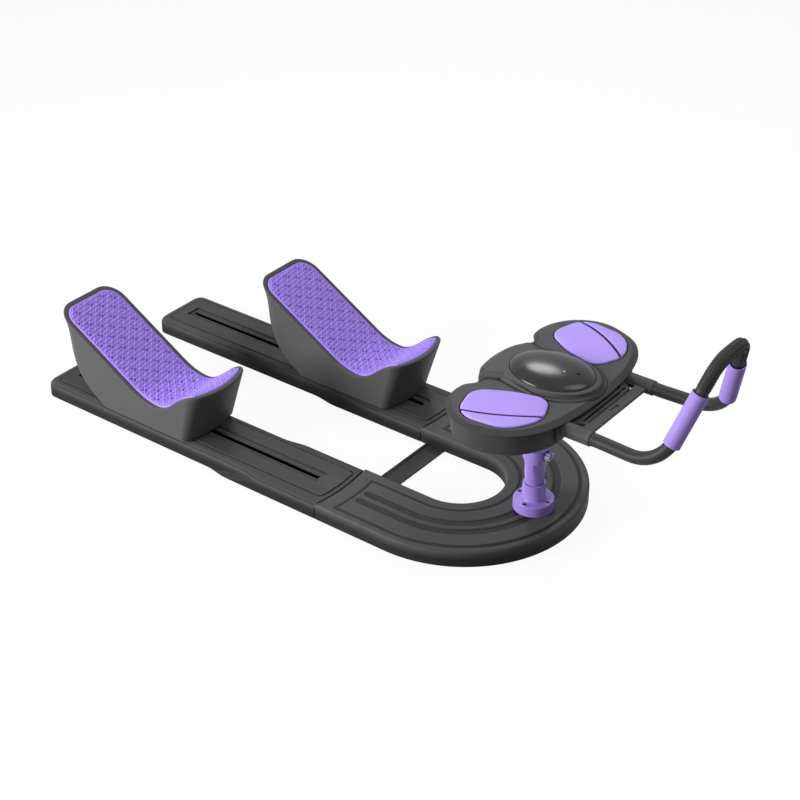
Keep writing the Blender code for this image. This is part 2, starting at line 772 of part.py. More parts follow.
def deck_outline(margin=0.0):
    """Returns the deck plate's outline on a rail, grown by a margin, with a bowed front."""
    half = DECK_WIDTH / 2 + margin
    corner = DECK_CORNER + margin
    rear = DECK_END_MARGIN - RAIL_LENGTH - margin
    front = margin - JOINT_GAP - DECK_FRONT_MARGIN
    lower = arc(rear + corner, corner - half, corner, 180, 270)
    edge = half - corner
    lower += arc(front - corner + joint_bow(edge), corner - half, corner, 270, 350, BOW_STEPS)
    places = [edge * (k / BOW_STEPS - 1) for k in range(1, 2 * BOW_STEPS)]
    bow = [(front + joint_bow(y), y) for y in places]
    return lower + bow + mirrored_outline(lower)


def rail_shell():
    """Returns the moulded rail: recessed for its deck, slotted, and open underneath."""
    rings = [[(x, y, FOOT_HEIGHT) for x, y in rail_outline(0, FLARE_LOW_X)]]
    for height in (SHELL_TOP - RAIL_FILLET - EMBED, SHELL_TOP):
        rings.append([(x, y, height) for x, y in rail_outline(0, FLARE_HIGH_X)])
    body = roll_rim(loft(rings), SHELL_TOP, RAIL_FILLET, FILLET_STEPS, end=-JOINT_BOW)
    hollow = flat_solid(rail_outline(SHELL_WALL, FLARE_HIGH_X), FOOT_HEIGHT - OVERSHOOT, CAVITY_TOP)
    recess = flat_solid(deck_outline(GROOVE_WIDTH), LEDGE, BASE_HEIGHT + OVERSHOOT)
    slot = slab(SLOT_REAR, SLOT_FRONT, SLOT_WIDTH, CAVITY_TOP - OVERSHOOT, BASE_HEIGHT + OVERSHOOT)
    return cut(body, hollow, recess, slot, link_slot())


def rail_deck():
    """Returns the deck plate with the opening that the carriage's shoe runs in."""
    plate = flat_solid(deck_outline(), LEDGE + GAP, BASE_HEIGHT)
    plate = roll_rim(plate, BASE_HEIGHT, PLATEAU_EDGE, 1)
    opening = slab(SLOT_REAR - CHANNEL_END, SLOT_FRONT + CHANNEL_END, CHANNEL_WIDTH,
                   LEDGE - OVERSHOOT, BASE_HEIGHT + OVERSHOOT)
    return cut(plate, opening)


def roller_track():
    """Returns the steel channel that the rollers run in."""
    rear = SLOT_REAR - STOP_THICKNESS
    front = SLOT_FRONT + STOP_THICKNESS
    channel = slab(rear, front, TRACK_WIDTH, TRACK_LOW, CAVITY_TOP - GAP)
    trough = slab(rear - OVERSHOOT, front + OVERSHOOT, TRACK_WIDTH - 2 * TRACK_WALL, TRACK_FLOOR, BASE_HEIGHT)
    return cut(channel, trough)


def build_rail(name, side, machine):
    """Builds one rail with its deck, floor, roller track and two rubber buffers."""
    rail = make_empty(f"rail_{name}_frame", (0, side * HALF_SPACING, 0), machine)
    add_part(f"rail_shell_{name}", rail_shell(), "black_plastic", rail)
    add_part(f"rail_deck_{name}", rail_deck(), "black_plastic", rail)
    floor = flat_solid(rail_outline(SHELL_WALL + GAP, FLARE_HIGH_X), FOOT_HEIGHT, PLATE_TOP)
    add_part(f"rail_floor_{name}", floor, "black_plastic", rail)
    add_part(f"roller_track_{name}", roller_track(), "zinc_steel", rail)
    width = TRACK_WIDTH - 2 * TRACK_WALL - 2 * GAP
    faces = {"rear": SLOT_REAR + STOP_PROUD - STOP_THICKNESS, "front": SLOT_FRONT - STOP_PROUD}
    for place, x in faces.items():
        stop = slab(x, x + STOP_THICKNESS, width, TRACK_FLOOR + GAP, CAVITY_TOP - GAP)
        add_part(f"end_stop_{place}_{name}", stop, "black_rubber", rail)


def seat_height(x):
    """Returns the seat's height along the cradle: a straight slope, a valley and a rising lip."""
    d = x - VALLEY_X
    turn = SLOPE / (2 * VALLEY_CURVE)
    if d > 0:
        return VALLEY_Z + LIP_RISE * sin(pi / 2 * min(d / (CRADLE_LENGTH - VALLEY_X), 1.0)) ** 2
    if d > -turn:
        return VALLEY_Z + VALLEY_CURVE * d * d
    return VALLEY_Z + VALLEY_CURVE * turn * turn - SLOPE * (d + turn)


def bowed(x, y):
    """Returns where a place along the cradle lies once its front is bowed."""
    share = min(max((x - CRADLE_BOW_START) / (CRADLE_LENGTH - CRADLE_BOW_START), 0.0), 1.0)
    return x + CRADLE_FRONT_BOW * share * (1 - (2 * y / CRADLE_WIDTH) ** 2)


def seat_point(x, y, depth):
    """Returns the point that lies a depth above the seat, along the seat's own normal."""
    step = GAP
    rise = (seat_height(x + step) - seat_height(x - step)) / (2 * step)
    length = hypot(rise, 1)
    return (bowed(x, y) - rise / length * depth, y, seat_height(x) + depth / length)


def seat_outline(edge):
    """Returns half of the cradle's plan, drawn in by a margin, from its rear centre to its front centre."""
    half = CRADLE_WIDTH / 2 - edge
    rear = CRADLE_REAR_CORNER - edge
    front = CRADLE_FRONT_CORNER - edge
    start = CRADLE_REAR_CORNER
    end = CRADLE_LENGTH - CRADLE_FRONT_CORNER
    bend = VALLEY_X - SLOPE / (2 * VALLEY_CURVE)
    points = [(edge, (rear - half) * k / HALF_ACROSS) for k in range(HALF_ACROSS)]
    points += arc(start, rear - half, rear, 180, 270)
    points += [(start + (bend - start) * k / 3, -half) for k in (1, 2)]
    points += [(bend + (end - bend) * k / CURVED_ROWS, -half) for k in range(CURVED_ROWS)]
    points += arc(end, front - half, front, 270, 360)
    nose = CRADLE_LENGTH - edge
    shelf = half - front
    points += [(nose, -shelf * k / HALF_ACROSS) for k in reversed(range(HALF_ACROSS))]
    return points


def seat_slab(layers):
    """Returns a sheet that follows the seat, from layers of (margin, depth) up its side and over."""
    rings = [[seat_point(x, y, depth) for x, y in seat_outline(edge)] for edge, depth in layers]
    (low_edge, low), (high_edge, high) = layers[0], layers[-1]
    return skin(rings, (seat_outline(low_edge), seat_outline(high_edge)),
                (lambda x, y: seat_point(x, y, low), lambda x, y: seat_point(x, y, high)))


def floor_outline(edge):
    """Returns where the points of the cradle's plan come down to on its floor."""
    run = (CRADLE_FLOOR_FRONT - CRADLE_FLOOR_REAR - 2 * edge) / (CRADLE_LENGTH - 2 * edge)
    narrow = (CRADLE_FLOOR_WIDTH / 2 - edge) / (CRADLE_WIDTH / 2 - edge)
    rear = CRADLE_FLOOR_REAR + edge
    return [(rear + (bowed(x, y) - edge) * run, y * narrow) for x, y in seat_outline(edge)]


def tub_rings(edge, drop, floor, count):
    """Returns the tub's rings from its floor to its rim, with the back wall swelling low down.

    The swell is t * (1 - t) ** 2 over its peak of 4 / 27, and it fades towards the front.
    """
    peak = 4 / 27
    rim = [seat_point(x, y, -drop) for x, y in seat_outline(edge)]
    rings = []
    for k in range(count):
        t = k / (count - 1)
        swell = CRADLE_BACK_BULGE * t * (1 - t) ** 2 / peak
        ring = []
        for (x0, y0), (x1, y1, z1) in zip(floor_outline(edge), rim):
            share = min(max(1 + BULGE_FADE_START - x0 / VALLEY_X, 0.0), 1.0) ** 2
            ring.append((x0 + (x1 - x0) * t - swell * share, y0 + (y1 - y0) * t, floor + (z1 - floor) * t))
        rings.append(ring)
    return rings


def cradle_shell():
    """Returns the J-shaped tub with its rounded rim, the mat's pocket and a hollow underneath."""
    rings = tub_rings(0.0, RIM_ROUND, CRADLE_FLOOR, TUB_RINGS)
    for edge, depth in ((RIM_ROUND * RIM_BREAK, -RIM_ROUND * RIM_BREAK), (RIM_ROUND, 0.0)):
        rings.append([seat_point(x, y, depth) for x, y in seat_outline(edge)])
    ceiling = MAT_RECESS + CRADLE_WALL
    hollow = skin(tub_rings(CRADLE_WALL, ceiling, CRADLE_FLOOR - EMBED, HOLLOW_RINGS),
                  (None, seat_outline(CRADLE_WALL)), (None, lambda x, y: seat_point(x, y, -ceiling)))
    pocket = seat_slab([(RIM_WIDTH, -MAT_RECESS), (RIM_WIDTH, OVERSHOOT)])
    body = skin(rings, (None, seat_outline(RIM_ROUND)), (None, lambda x, y: seat_point(x, y, 0.0)))
    return cut(body, hollow, pocket)


def knee_mat():
    """Returns the crowned knee mat, drawn in at its foot, that lies in the cradle's pocket."""
    edge = RIM_WIDTH + GAP
    return seat_slab([
        (edge + MAT_TUCK, 2 * GAP - MAT_RECESS), (edge, -MAT_RECESS / 2), (edge, MAT_PROUD / 2),
        (edge + MAT_TUCK, MAT_PROUD), (edge + MAT_SHOULDER, MAT_PROUD + MAT_CROWN)])


def cradle_plate():
    """Returns the plate that closes the tub's underside."""
    outline = floor_outline(CRADLE_WALL + GAP)
    heights = (CRADLE_FLOOR, CRADLE_FLOOR + CRADLE_PLATE)
    return skin([[(x, y, height) for x, y in outline] for height in heights])


def slide_block():
    """Returns the carriage block: a shoe on the rail, a web through its slot and a forked truck."""
    shoe = CHANNEL_WIDTH - 2 * SHOE_SIDE_PLAY
    web = SLOT_WIDTH - 2 * BLOCK_SIDE_PLAY
    truck = TRUCK_WIDTH
    levels = (TRACK_FLOOR + TRUCK_FLOOR_PLAY, TRUCK_TOP, LEDGE + RUNNING_GAP, CRADLE_FLOOR - GAP)
    end = BLOCK_LENGTH / 2
    beam = fuse(slab(-end, end, truck, levels[0], levels[1]),
                slab(-end, end, web, levels[1] - EMBED, levels[2] + EMBED),
                slab(-end, end, shoe, levels[2], levels[3]))
    tools = []
    reach = ROLLER_RADIUS + FORK_PLAY
    for x in (-AXLE_SPACING / 2, AXLE_SPACING / 2):
        tools.append(slab(x - reach, x + reach, ROLLER_WIDTH + 2 * FORK_PLAY, 0, AXLE_Z + reach))
        bore = cylinder(AXLE_RADIUS + GAP, -TRUCK_WIDTH, TRUCK_WIDTH, BORE_STEPS)
        tools.append(moved(bore, at(x, 0, AXLE_Z) @ ALONG_Y))
    return cut(beam, *tools)


def axle():
    """Returns a headed axle pin that lies across the track."""
    reach = TRUCK_WIDTH / 2 + GAP
    pin = turned([(0, reach + AXLE_HEAD), (AXLE_HEAD_RADIUS, reach + AXLE_HEAD), (AXLE_HEAD_RADIUS, reach),
                  (AXLE_RADIUS, reach), (AXLE_RADIUS, -reach), (0, -reach)], PIN_STEPS)
    return moved(pin, ALONG_Y)


def roller():
    """Returns a bored roller with softened edges that lies across the track."""
    half = ROLLER_WIDTH / 2
    bore = AXLE_RADIUS + RUNNING_GAP
    shoulder = ROLLER_RADIUS - ROLLER_CROWN
    wheel = turned([(bore, -half), (bore, half), (shoulder, half), (ROLLER_RADIUS, half - ROLLER_CROWN),
                    (ROLLER_RADIUS, ROLLER_CROWN - half), (shoulder, -half)], PIN_STEPS, True)
    return moved(wheel, ALONG_Y)


def build_cradle(name, side, machine):
    """Builds one knee cradle and the carriage that holds it in its rail."""
    carriage = make_empty(f"carriage_{name}_frame", (CARRIAGE_X[name], side * HALF_SPACING, 0), machine)
    rear = (-CARRIAGE_OFFSET, 0, 0)
    add_part(f"cradle_shell_{name}", cradle_shell(), "black_plastic", carriage, rear)
    add_part(f"cradle_mat_{name}", knee_mat(), "purple_foam", carriage, rear)
    add_part(f"cradle_floor_{name}", cradle_plate(), "black_plastic", carriage, rear)
    add_part(f"slide_block_{name}", slide_block(), "black_plastic", carriage)
    for place, x in (("rear", -AXLE_SPACING / 2), ("front", AXLE_SPACING / 2)):
        add_part(f"axle_{place}_{name}", axle(), "zinc_steel", carriage, (x, 0, AXLE_Z))
        add_part(f"roller_{place}_{name}", roller(), "black_rubber", carriage, (x, 0, AXLE_Z))


def column_foot(spots):
    """Returns the flange and collar, bored for the neck's spigot and sunk for the screws."""
    bore = SPIGOT_RADIUS + RUNNING_GAP
    floor = COLLAR_TOP - SPIGOT_LENGTH - GAP
    lip = COLLAR_FILLET / 3
    foot = turned([
        (0, floor), (bore, floor), (bore, COLLAR_TOP), (COLLAR_RADIUS - lip, COLLAR_TOP),
        (COLLAR_RADIUS, COLLAR_TOP - lip), (COLLAR_RADIUS, FLANGE_TOP + COLLAR_FILLET),
        (COLLAR_RADIUS + lip, FLANGE_TOP + lip), (COLLAR_RADIUS + COLLAR_FILLET, FLANGE_TOP),
        (FLANGE_RADIUS - FLANGE_EDGE, FLANGE_TOP), (FLANGE_RADIUS, FLANGE_TOP - FLANGE_EDGE),
        (FLANGE_RADIUS, FLANGE_LOW), (0, FLANGE_LOW)])
    pocket = cylinder(SCREW_RADIUS + GAP, FLANGE_TOP - SCREW_HEIGHT - GAP, FLANGE_TOP + OVERSHOOT, HOLE_STEPS)
    return cut(foot, *[moved(pocket, at(x, y, 0)) for x, y in spots])


def screw_head():
    """Returns a domed screw head with a hexagonal recess, standing on its own origin."""
    head = turned([(0, SCREW_HEIGHT), (SCREW_RADIUS * SCREW_CROWN, SCREW_HEIGHT),
                   (SCREW_RADIUS, SCREW_HEIGHT / 2), (SCREW_RADIUS, 0), (0, 0)], SCREW_STEPS)
    hexagon = cylinder(SCREW_RADIUS * SCREW_SOCKET, SCREW_HEIGHT * SCREW_SOCKET, SCREW_HEIGHT + OVERSHOOT, 6)
    return cut(head, hexagon)


def column_neck():
    """Returns the waisted, fluted neck with its spigot below and the post's well above."""
    flare = []
    for k in range(NECK_STEPS + 1):
        t = 1 - k / NECK_STEPS
        flare.append((WAIST_RADIUS + NECK_FLARE * t ** NECK_CURVE, NECK_LOW + NECK_HEIGHT * t))
    well = NECK_LOW + NECK_FLOOR
    bottom = COLLAR_TOP - SPIGOT_LENGTH
    neck = turned([(0, well), (POST_SEAT, well), (POST_SEAT, NECK_TOP)] + flare
                  + [(SPIGOT_RADIUS, NECK_LOW), (SPIGOT_RADIUS, bottom), (0, bottom)])
    top_radius = WAIST_RADIUS + NECK_FLARE
    flute = box((top_radius - FLUTE_DEPTH, -FLUTE_WIDTH / 2, NECK_LOW + FLUTE_MARGIN),
                (top_radius + OVERSHOOT, FLUTE_WIDTH / 2, NECK_TOP - FLUTE_MARGIN))
    turns = [Matrix.Rotation(2 * pi * (k + 0.5) / FLUTE_COUNT, 4, "Z") for k in range(FLUTE_COUNT)]
    return cut(neck, *[moved(flute, turn) for turn in turns])


def build_clamp(neck):
    """Builds the split band with its ear on top of the neck, and the bolt across its split."""
    low = NECK_TOP + GAP
    high = low + BAND_RING_HEIGHT
    edge = EAR_MARGIN / 3
    band = turned([(POST_SEAT, low), (POST_SEAT, high), (BAND_RING_RADIUS - edge, high),
                   (BAND_RING_RADIUS, high - edge), (BAND_RING_RADIUS, low + edge),
                   (BAND_RING_RADIUS - edge, low)], TURN_STEPS, True)
    reach = BAND_RING_RADIUS + EAR_REACH
    ear = box((POST_SEAT + EAR_MARGIN, -EAR_WIDTH / 2, low + EAR_MARGIN),
              (reach, EAR_WIDTH / 2, high - EAR_MARGIN))
    split = box((POST_SEAT - EAR_MARGIN, -BAND_SPLIT / 2, low - OVERSHOOT),
                (reach + OVERSHOOT, BAND_SPLIT / 2, high + OVERSHOOT))
    place = at(reach - EAR_WIDTH / 2 + BOLT_RADIUS / 2, 0, (low + high) / 2) @ ALONG_Y
    hole = moved(cylinder(BOLT_RADIUS + GAP, -EAR_WIDTH, EAR_WIDTH, HOLE_STEPS), place)
    turn = Matrix.Rotation(radians(EAR_ANGLE), 4, "Z")
    clearance = box((BAND_RING_RADIUS - EAR_MARGIN, EAR_WIDTH / 2, low + EAR_MARGIN),
                    (reach, EAR_WIDTH, high - EAR_MARGIN))
    mirror = moved(clearance, Matrix.Diagonal((1, -1, 1, 1)))
    mirror.flip_normals()
    add_part("clamp_band", moved(cut(fuse(band, ear), split, hole, clearance, mirror), turn),
             "purple_plastic", neck)
    face = EAR_WIDTH / 2 + GAP
    bolt = turned([(0, face + BOLT_HEAD), (BOLT_HEAD_RADIUS, face + BOLT_HEAD), (BOLT_HEAD_RADIUS, face),
                   (BOLT_RADIUS, face), (BOLT_RADIUS, -face), (BOLT_HEAD_RADIUS, -face),
                   (BOLT_HEAD_RADIUS, -face - BOLT_HEAD), (0, -face - BOLT_HEAD)], HOLE_STEPS)
    add_part("clamp_bolt", moved(bolt, turn @ place), "zinc_steel", neck)


def build_column(machine):
    """Builds the column's foot, neck and clamp, and returns the empties of the foot and the neck."""
    foot = make_empty("column_frame", (COLUMN_X, 0, 0), machine)
    neck = make_empty("swivel_frame", (0, 0, 0), foot)
    angles = [2 * pi * k / SCREW_COUNT for k in range(SCREW_COUNT)]
    circle = FLANGE_RADIUS - SCREW_INSET
    spots = [(circle * cos(angle), circle * sin(angle)) for angle in angles]
    add_part("column_foot", column_foot(spots), "purple_plastic", foot)
    for k, (x, y) in enumerate(spots, 1):
        add_part(f"flange_screw_{k}", screw_head(), "black_steel", foot, (x, y, FLANGE_TOP - SCREW_HEIGHT))
    add_part("column_neck", column_neck(), "purple_plastic", neck)
    build_clamp(neck)
    return neck


def panel_outline(edge=0.0):
    """Returns the elbow panel's winged plan about the column, drawn in by a margin."""
    left = list(PANEL_POINTS)
    right = [(x, -y) for x, y in left[1:-1]]
    outline = smooth_loop([left[0]] + right + [left[-1]] + list(reversed(left[1:-1])))
    return inset(outline, edge) if edge else outline


def tray_outline(edge):
    """Returns the tray's plan, drawn in from the panel's and cut straight across its front."""
    front = TRAY_FRONT - (edge - TRAY_INSET)
    return [(min(x, front), y) for x, y in panel_outline(edge)]


def panel_tray():
    """Returns the open tray under the panel, with the post's socket."""
    block = flat_solid(tray_outline(TRAY_INSET), TRAY_LOW, TRAY_TOP)
    tray = roll_rim(block, TRAY_LOW, TRAY_EDGE, TRAY_EDGE_STEPS)
    hollow = flat_solid(tray_outline(TRAY_INSET + TRAY_WALL), TRAY_LOW + TRAY_FLOOR, PANEL_TOP)
    socket = cylinder(POST_SEAT + SOCKET_WALL, TRAY_LOW - SOCKET_DROP, POST_TOP, POST_STEPS)
    bore = cylinder(POST_SEAT, TRAY_LOW - SOCKET_DROP - OVERSHOOT, POST_TOP + OVERSHOOT, POST_STEPS)
    return cut(fuse(cut(tray, hollow), socket), bore)


def panel_cover():
    """Returns the winged cover with its raised middle and the recesses of the pads."""
    plate = flat_solid(panel_outline(), COVER_LOW, PANEL_TOP)
    plate = roll_rim(plate, PANEL_TOP, COVER_FILLET, FILLET_STEPS)
    rings = []
    for t in BOSS_SHARES:
        share = max(t, 0.0)
        x = BOSS_FOOT_X + (BOSS_X - BOSS_FOOT_X) * share
        length = BOSS_FOOT_LENGTH + (BOSS_LENGTH - BOSS_FOOT_LENGTH) * share
        width = BOSS_FOOT_WIDTH + (BOSS_WIDTH - BOSS_FOOT_WIDTH) * share
        rise = share * share * (3 - 2 * share) if t > 0 else t
        rings.append([(px, py, PANEL_TOP + BOSS_HEIGHT * rise) for px, py in ellipse(x, length, width)])
    recesses = [flat_solid(pad_outline(side, 0.0), PANEL_TOP - PAD_RECESS, PANEL_TOP + OVERSHOOT)
                for side in SIDES.values()]
    return cut(fuse(plate, loft(rings)), *recesses)


def pad_outline(side, edge):
    """Returns one elbow pad's rounded plan, drawn in by a margin."""
    outline = inset(rounded(PAD_CORNERS, PAD_RADII), edge)
    return outline if side > 0 else mirrored_outline(outline)


def seam_cutter(side):
    """Returns the curved wall that sinks the seam between an elbow pad and its outer strip."""
    start, middle, end = (Vector(point) for point in SEAM_POINTS)
    control = 2 * middle - (start + end) / 2
    line = []
    for k in range(SEAM_STEPS + 1):
        t = k / SEAM_STEPS
        line.append(start * (1 - t) ** 2 + control * 2 * t * (1 - t) + end * t * t)
    half = SEAM_WIDTH / 2
    outline = [(spot.x, spot.y - half) for spot in line]
    outline += [(spot.x, spot.y + half) for spot in reversed(line)]
    if side < 0:
        outline = mirrored_outline(outline)
    top = PANEL_TOP - PAD_RECESS + GAP + PAD_THICKNESS
    return flat_solid(outline, top - SEAM_DEPTH, top + OVERSHOOT)


def elbow_pad(side):
    """Returns one crowned elbow pad with its sunk seam."""
    seat = PANEL_TOP - PAD_RECESS + GAP
    layers = ((GAP, 0.0), (GAP, PAD_THICKNESS - PAD_CROWN), (GAP + PAD_CROWN, PAD_THICKNESS),
              (PAD_SHOULDER, PAD_THICKNESS + PAD_CROWN))
    pad = loft([[(x, y, seat + rise) for x, y in pad_outline(side, edge)] for edge, rise in layers])
    return cut(pad, seam_cutter(side))


def oval(mesh, x, length, width):
    """Returns a turned mesh squeezed to an oval and set at a place along the panel."""
    return moved(mesh, at(x, 0, 0) @ Matrix.Diagonal((1, width / length, 1, 1)))


def dome_curve(radius, height, low):
    """Returns the profile of a shallow dome from its top down to its edge."""
    angles = [pi / 2 * (1 - k / DOME_STEPS) for k in range(DOME_STEPS + 1)]
    return [(radius * cos(angle), low + height * sin(angle)) for angle in angles]


def build_display(panel):
    """Builds the bezel, the glossy dome and the counter module under it."""
    low = BOSS_TOP + GAP
    high = low + BEZEL_HEIGHT
    outer = BOSS_LENGTH / 2 - BEZEL_STEP
    ring = turned([(0, high), (outer - BEZEL_SLOPE, high), (outer, low + BEZEL_HEIGHT / 2), (outer, low),
                   (0, low)], OVAL_STEPS)
    ring = oval(ring, BOSS_X, BOSS_LENGTH, BOSS_WIDTH)
    rim = ellipse(DOME_X, DOME_LENGTH + 2 * GAP, DOME_WIDTH + 2 * GAP)
    hole = flat_solid(rim, low - OVERSHOOT, high + OVERSHOOT)
    add_part("dome_bezel", cut(ring, hole), "black_plastic", panel)
    outside = dome_curve(DOME_LENGTH / 2, DOME_HEIGHT, low)
    inside = dome_curve(DOME_LENGTH / 2 - DOME_WALL, DOME_HEIGHT - DOME_WALL, low)
    outside[0] = (0, low + DOME_HEIGHT)
    inside[0] = (0, low + DOME_HEIGHT - DOME_WALL)
    dome = oval(turned(outside + list(reversed(inside)), OVAL_STEPS), DOME_X, DOME_LENGTH, DOME_WIDTH)
    add_part("counter_dome", dome, "gloss_black", panel)
    module = box((DOME_X - MODULE_LENGTH / 2, -MODULE_WIDTH / 2, low),
                 (DOME_X + MODULE_LENGTH / 2, MODULE_WIDTH / 2, low + MODULE_HEIGHT))
    add_part("counter_module", module, "circuit_green", panel)


def build_panel(panel):
    """Builds the post, the tray, the cover and the two pads."""
    bore = POST_RADIUS - POST_WALL
    profile = [(bore, POST_LOW), (bore, POST_TOP), (POST_RADIUS, POST_TOP), (POST_RADIUS, POST_LOW)]
    post = turned(profile, POST_STEPS, True)
    add_part("column_post", post, "black_steel", panel)
    add_part("panel_tray", panel_tray(), "black_plastic", panel)
    add_part("panel_cover", panel_cover(), "black_plastic", panel)
    for name, side in SIDES.items():
        add_part(f"elbow_pad_{name}", elbow_pad(side), "lilac_pad", panel)


def fillet_path(corners, radii, steps=6):
    """Returns a polyline through the corners with each inner corner rounded to its radius."""
    points = [Vector(corners[0])]
    for before, corner, after, radius in zip(corners, corners[1:], corners[2:], radii):
        back = (before - corner).normalized()
        ahead = (after - corner).normalized()
        half = back.angle(ahead) / 2
        center = corner + (back + ahead).normalized() * radius / sin(half)
        start = corner + back * radius / tan(half) - center
        end = corner + ahead * radius / tan(half) - center
        sweep = start.angle(end)
        count = max(2, round(steps * sweep / (pi / 2)))
        for k in range(count + 1):
            t = k / count
            points.append(center + (start * sin((1 - t) * sweep) + end * sin(t * sweep)) / sin(sweep))
    points.append(Vector(corners[-1]))
    return points


def grip_ends(side):
    """Returns the lower and upper end of one grip's centre line."""
    low = Vector((GRIP_LOW_REACH, side * (HANDLE_Y - GRIP_LOW_TOE), GRIP_LOW_RISE))
    high = Vector((GRIP_HIGH_REACH, side * (HANDLE_Y - GRIP_HIGH_TOE), GRIP_HIGH_RISE))
    return [spot + Vector((TRAY_FRONT, 0, HANDLE_Z)) for spot in (low, high)]


def handle_path():
    """Returns the handlebar's centre line from the right sleeve over the arch to the left one."""
    halves = []
    for side in SIDES.values():
        low, high = grip_ends(side)
        lean = (high - low).normalized()
        elbow = low + lean * ((HANDLE_Z - low.z) / lean.z)
        crest = high + lean * ARCH_REACH
        start = Vector((SLEEVE_END - TUBE_INSERT, side * HANDLE_Y, HANDLE_Z))
        lead = Vector((SLEEVE_END + TUBE_LEAD, side * HANDLE_Y, HANDLE_Z))
        halves.append([start, lead, elbow, crest])
    right, left = halves
    radii = [LEAD_RADIUS, BEND_RADIUS, ARCH_BEND]
    return fillet_path(right + left[::-1], radii + radii[::-1])


def bracket():
    """Returns the handle's bracket: a flange, two sleeves, a ribbed web and the beam between them."""
    inner = HANDLE_Y - GUSSET_WIDTH
    flange = box((BRACKET_X, -HANDLE_Y - BRACKET_MARGIN, TRAY_LOW + BRACKET_LOW_MARGIN),
                 (BRACKET_X + BRACKET_PLATE, HANDLE_Y + BRACKET_MARGIN, COVER_LOW - BRACKET_CLEARANCE))
    low, high = HANDLE_Z - WEB_THICKNESS / 2, HANDLE_Z + WEB_THICKNESS / 2
    web = box((BRACKET_X + EMBED, -HANDLE_Y, low), (BEAM_FRONT, HANDLE_Y, high))
    opening = box((BRACKET_X + BRACKET_PLATE, -inner, low - OVERSHOOT), (BEAM_REAR, inner, high + OVERSHOOT))
    notch = box((BEAM_REAR + (BEAM_LENGTH - NOTCH_LENGTH) / 2, -NOTCH_WIDTH / 2, high - NOTCH_DEPTH),
                (BEAM_REAR + (BEAM_LENGTH + NOTCH_LENGTH) / 2, NOTCH_WIDTH / 2, high + OVERSHOOT))
    frame = cut(fuse(flange, web), opening, notch)
    sleeve = turned([(0, SLEEVE_LENGTH), (SLEEVE_RADIUS - SLEEVE_EDGE, SLEEVE_LENGTH),
                     (SLEEVE_RADIUS, SLEEVE_LENGTH - SLEEVE_EDGE), (SLEEVE_RADIUS, EMBED), (0, EMBED)],
                    POST_STEPS)
    bodies = []
    cutters = []
    near, far = BRACKET_X + BRACKET_PLATE + WINDOW_RIM, BEAM_REAR - WINDOW_RIM / 2
    edge = HANDLE_Y - SLEEVE_RADIUS - WINDOW_RIM / 2
    for side in SIDES.values():
        bodies.append(moved(sleeve, at(BRACKET_X, side * HANDLE_Y, HANDLE_Z) @ ALONG_X))
        window = [(near, edge), (far, inner + WINDOW_RIM), (far, edge)]
        window = window if side > 0 else mirrored_outline(window)
        cutters.append(flat_solid(window, low - OVERSHOOT, high + OVERSHOOT))
    for k in (1, 2):
        rib = cylinder(RIB_RADIUS, -inner - EMBED, inner + EMBED, PIN_STEPS)
        bodies.append(moved(rib, at(BRACKET_X + BRACKET_PLATE + RIB_PITCH * k, 0, HANDLE_Z) @ ALONG_Y))
    return cut(fuse(cut(frame, *cutters), *bodies), swept(handle_path(), TUBE_RADIUS + GAP))


def handlebar():
    """Returns the bent tube with its open ends."""
    path = handle_path()
    first = path[0] + (path[0] - path[1]).normalized() * OVERSHOOT
    last = path[-1] + (path[-1] - path[-2]).normalized() * OVERSHOOT
    return cut(swept(path, TUBE_RADIUS), swept([first] + path[1:-1] + [last], TUBE_RADIUS - TUBE_WALL))


def grip(side):
    """Returns one foam grip with rounded ends, bored for the tube."""
    low, high = grip_ends(side)
    length = (high - low).length
    edge = GRIP_RADIUS - GRIP_EDGE
    body = turned([(0, length), (edge, length), (GRIP_RADIUS, length - GRIP_EDGE), (GRIP_RADIUS, GRIP_EDGE),
                   (edge, 0), (0, 0)])
    turn = Vector((0, 0, 1)).rotation_difference(high - low).to_matrix().to_4x4()
    return cut(moved(body, Matrix.Translation(low) @ turn), swept(handle_path(), TUBE_RADIUS + GAP))


def arch_cover():
    """Returns the cover that the tube wears between the two grips, with tapered ends."""
    low, high = grip_ends(SIDES["right"])
    lean = (high - low).normalized()
    start = high + lean * GAP
    shoulder = start + lean * ARCH_TAPER
    above = [point for point in handle_path() if point.z > shoulder.z + ARCH_TAPER]
    mirror = Vector((1, -1, 1))
    run = [start, shoulder] + above + [shoulder * mirror, start * mirror]
    taper = 1 - ARCH_EDGE / ARCH_RADIUS
    factors = [taper] + [1.0] * (len(run) - 2) + [taper]
    return cut(swept(run, ARCH_RADIUS, factors), swept(handle_path(), TUBE_RADIUS + GAP))


def build_handle(panel):
    """Builds the bracket, the handlebar, its grips and the arch's cover."""
    add_part("handle_bracket", bracket(), "black_plastic", panel)
    add_part("handlebar", handlebar(), "black_steel", panel)
    for name, side in SIDES.items():
        add_part(f"grip_{name}", grip(side), "purple_foam", panel)
    add_part("arch_cover", arch_cover(), "black_rubber", panel)


def build_machine():
    """Builds every assembly, with the machine's footprint centred over the origin."""
    foremost = COLUMN_X + max(point.x for point in handle_path()) + ARCH_RADIUS
    machine = make_empty("machine_frame", ((RAIL_LENGTH - foremost) / 2, 0, 0))
    build_base(machine)
    for name, side in SIDES.items():
        build_rail(name, side, machine)
        build_cradle(name, side, machine)
    neck = build_column(machine)
    panel = make_empty("panel_frame", (0, 0, 0), neck)
    build_panel(panel)
    build_display(panel)
    build_handle(panel)


clear_scene()
PARTS = make_collection("abdominal_core_trainer")
CUTTERS = make_collection("cutters")
FINISHES = make_materials()
build_machine()
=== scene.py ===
"""Dresses the abdominal core trainer: its finishes, its soft pads, its fine shells, and the studio.

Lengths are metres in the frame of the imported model: +Z is up, and +X runs along the rails
towards the handlebar. Each sub-assembly is a class with its sizes as fields.
"""
from __future__ import annotations

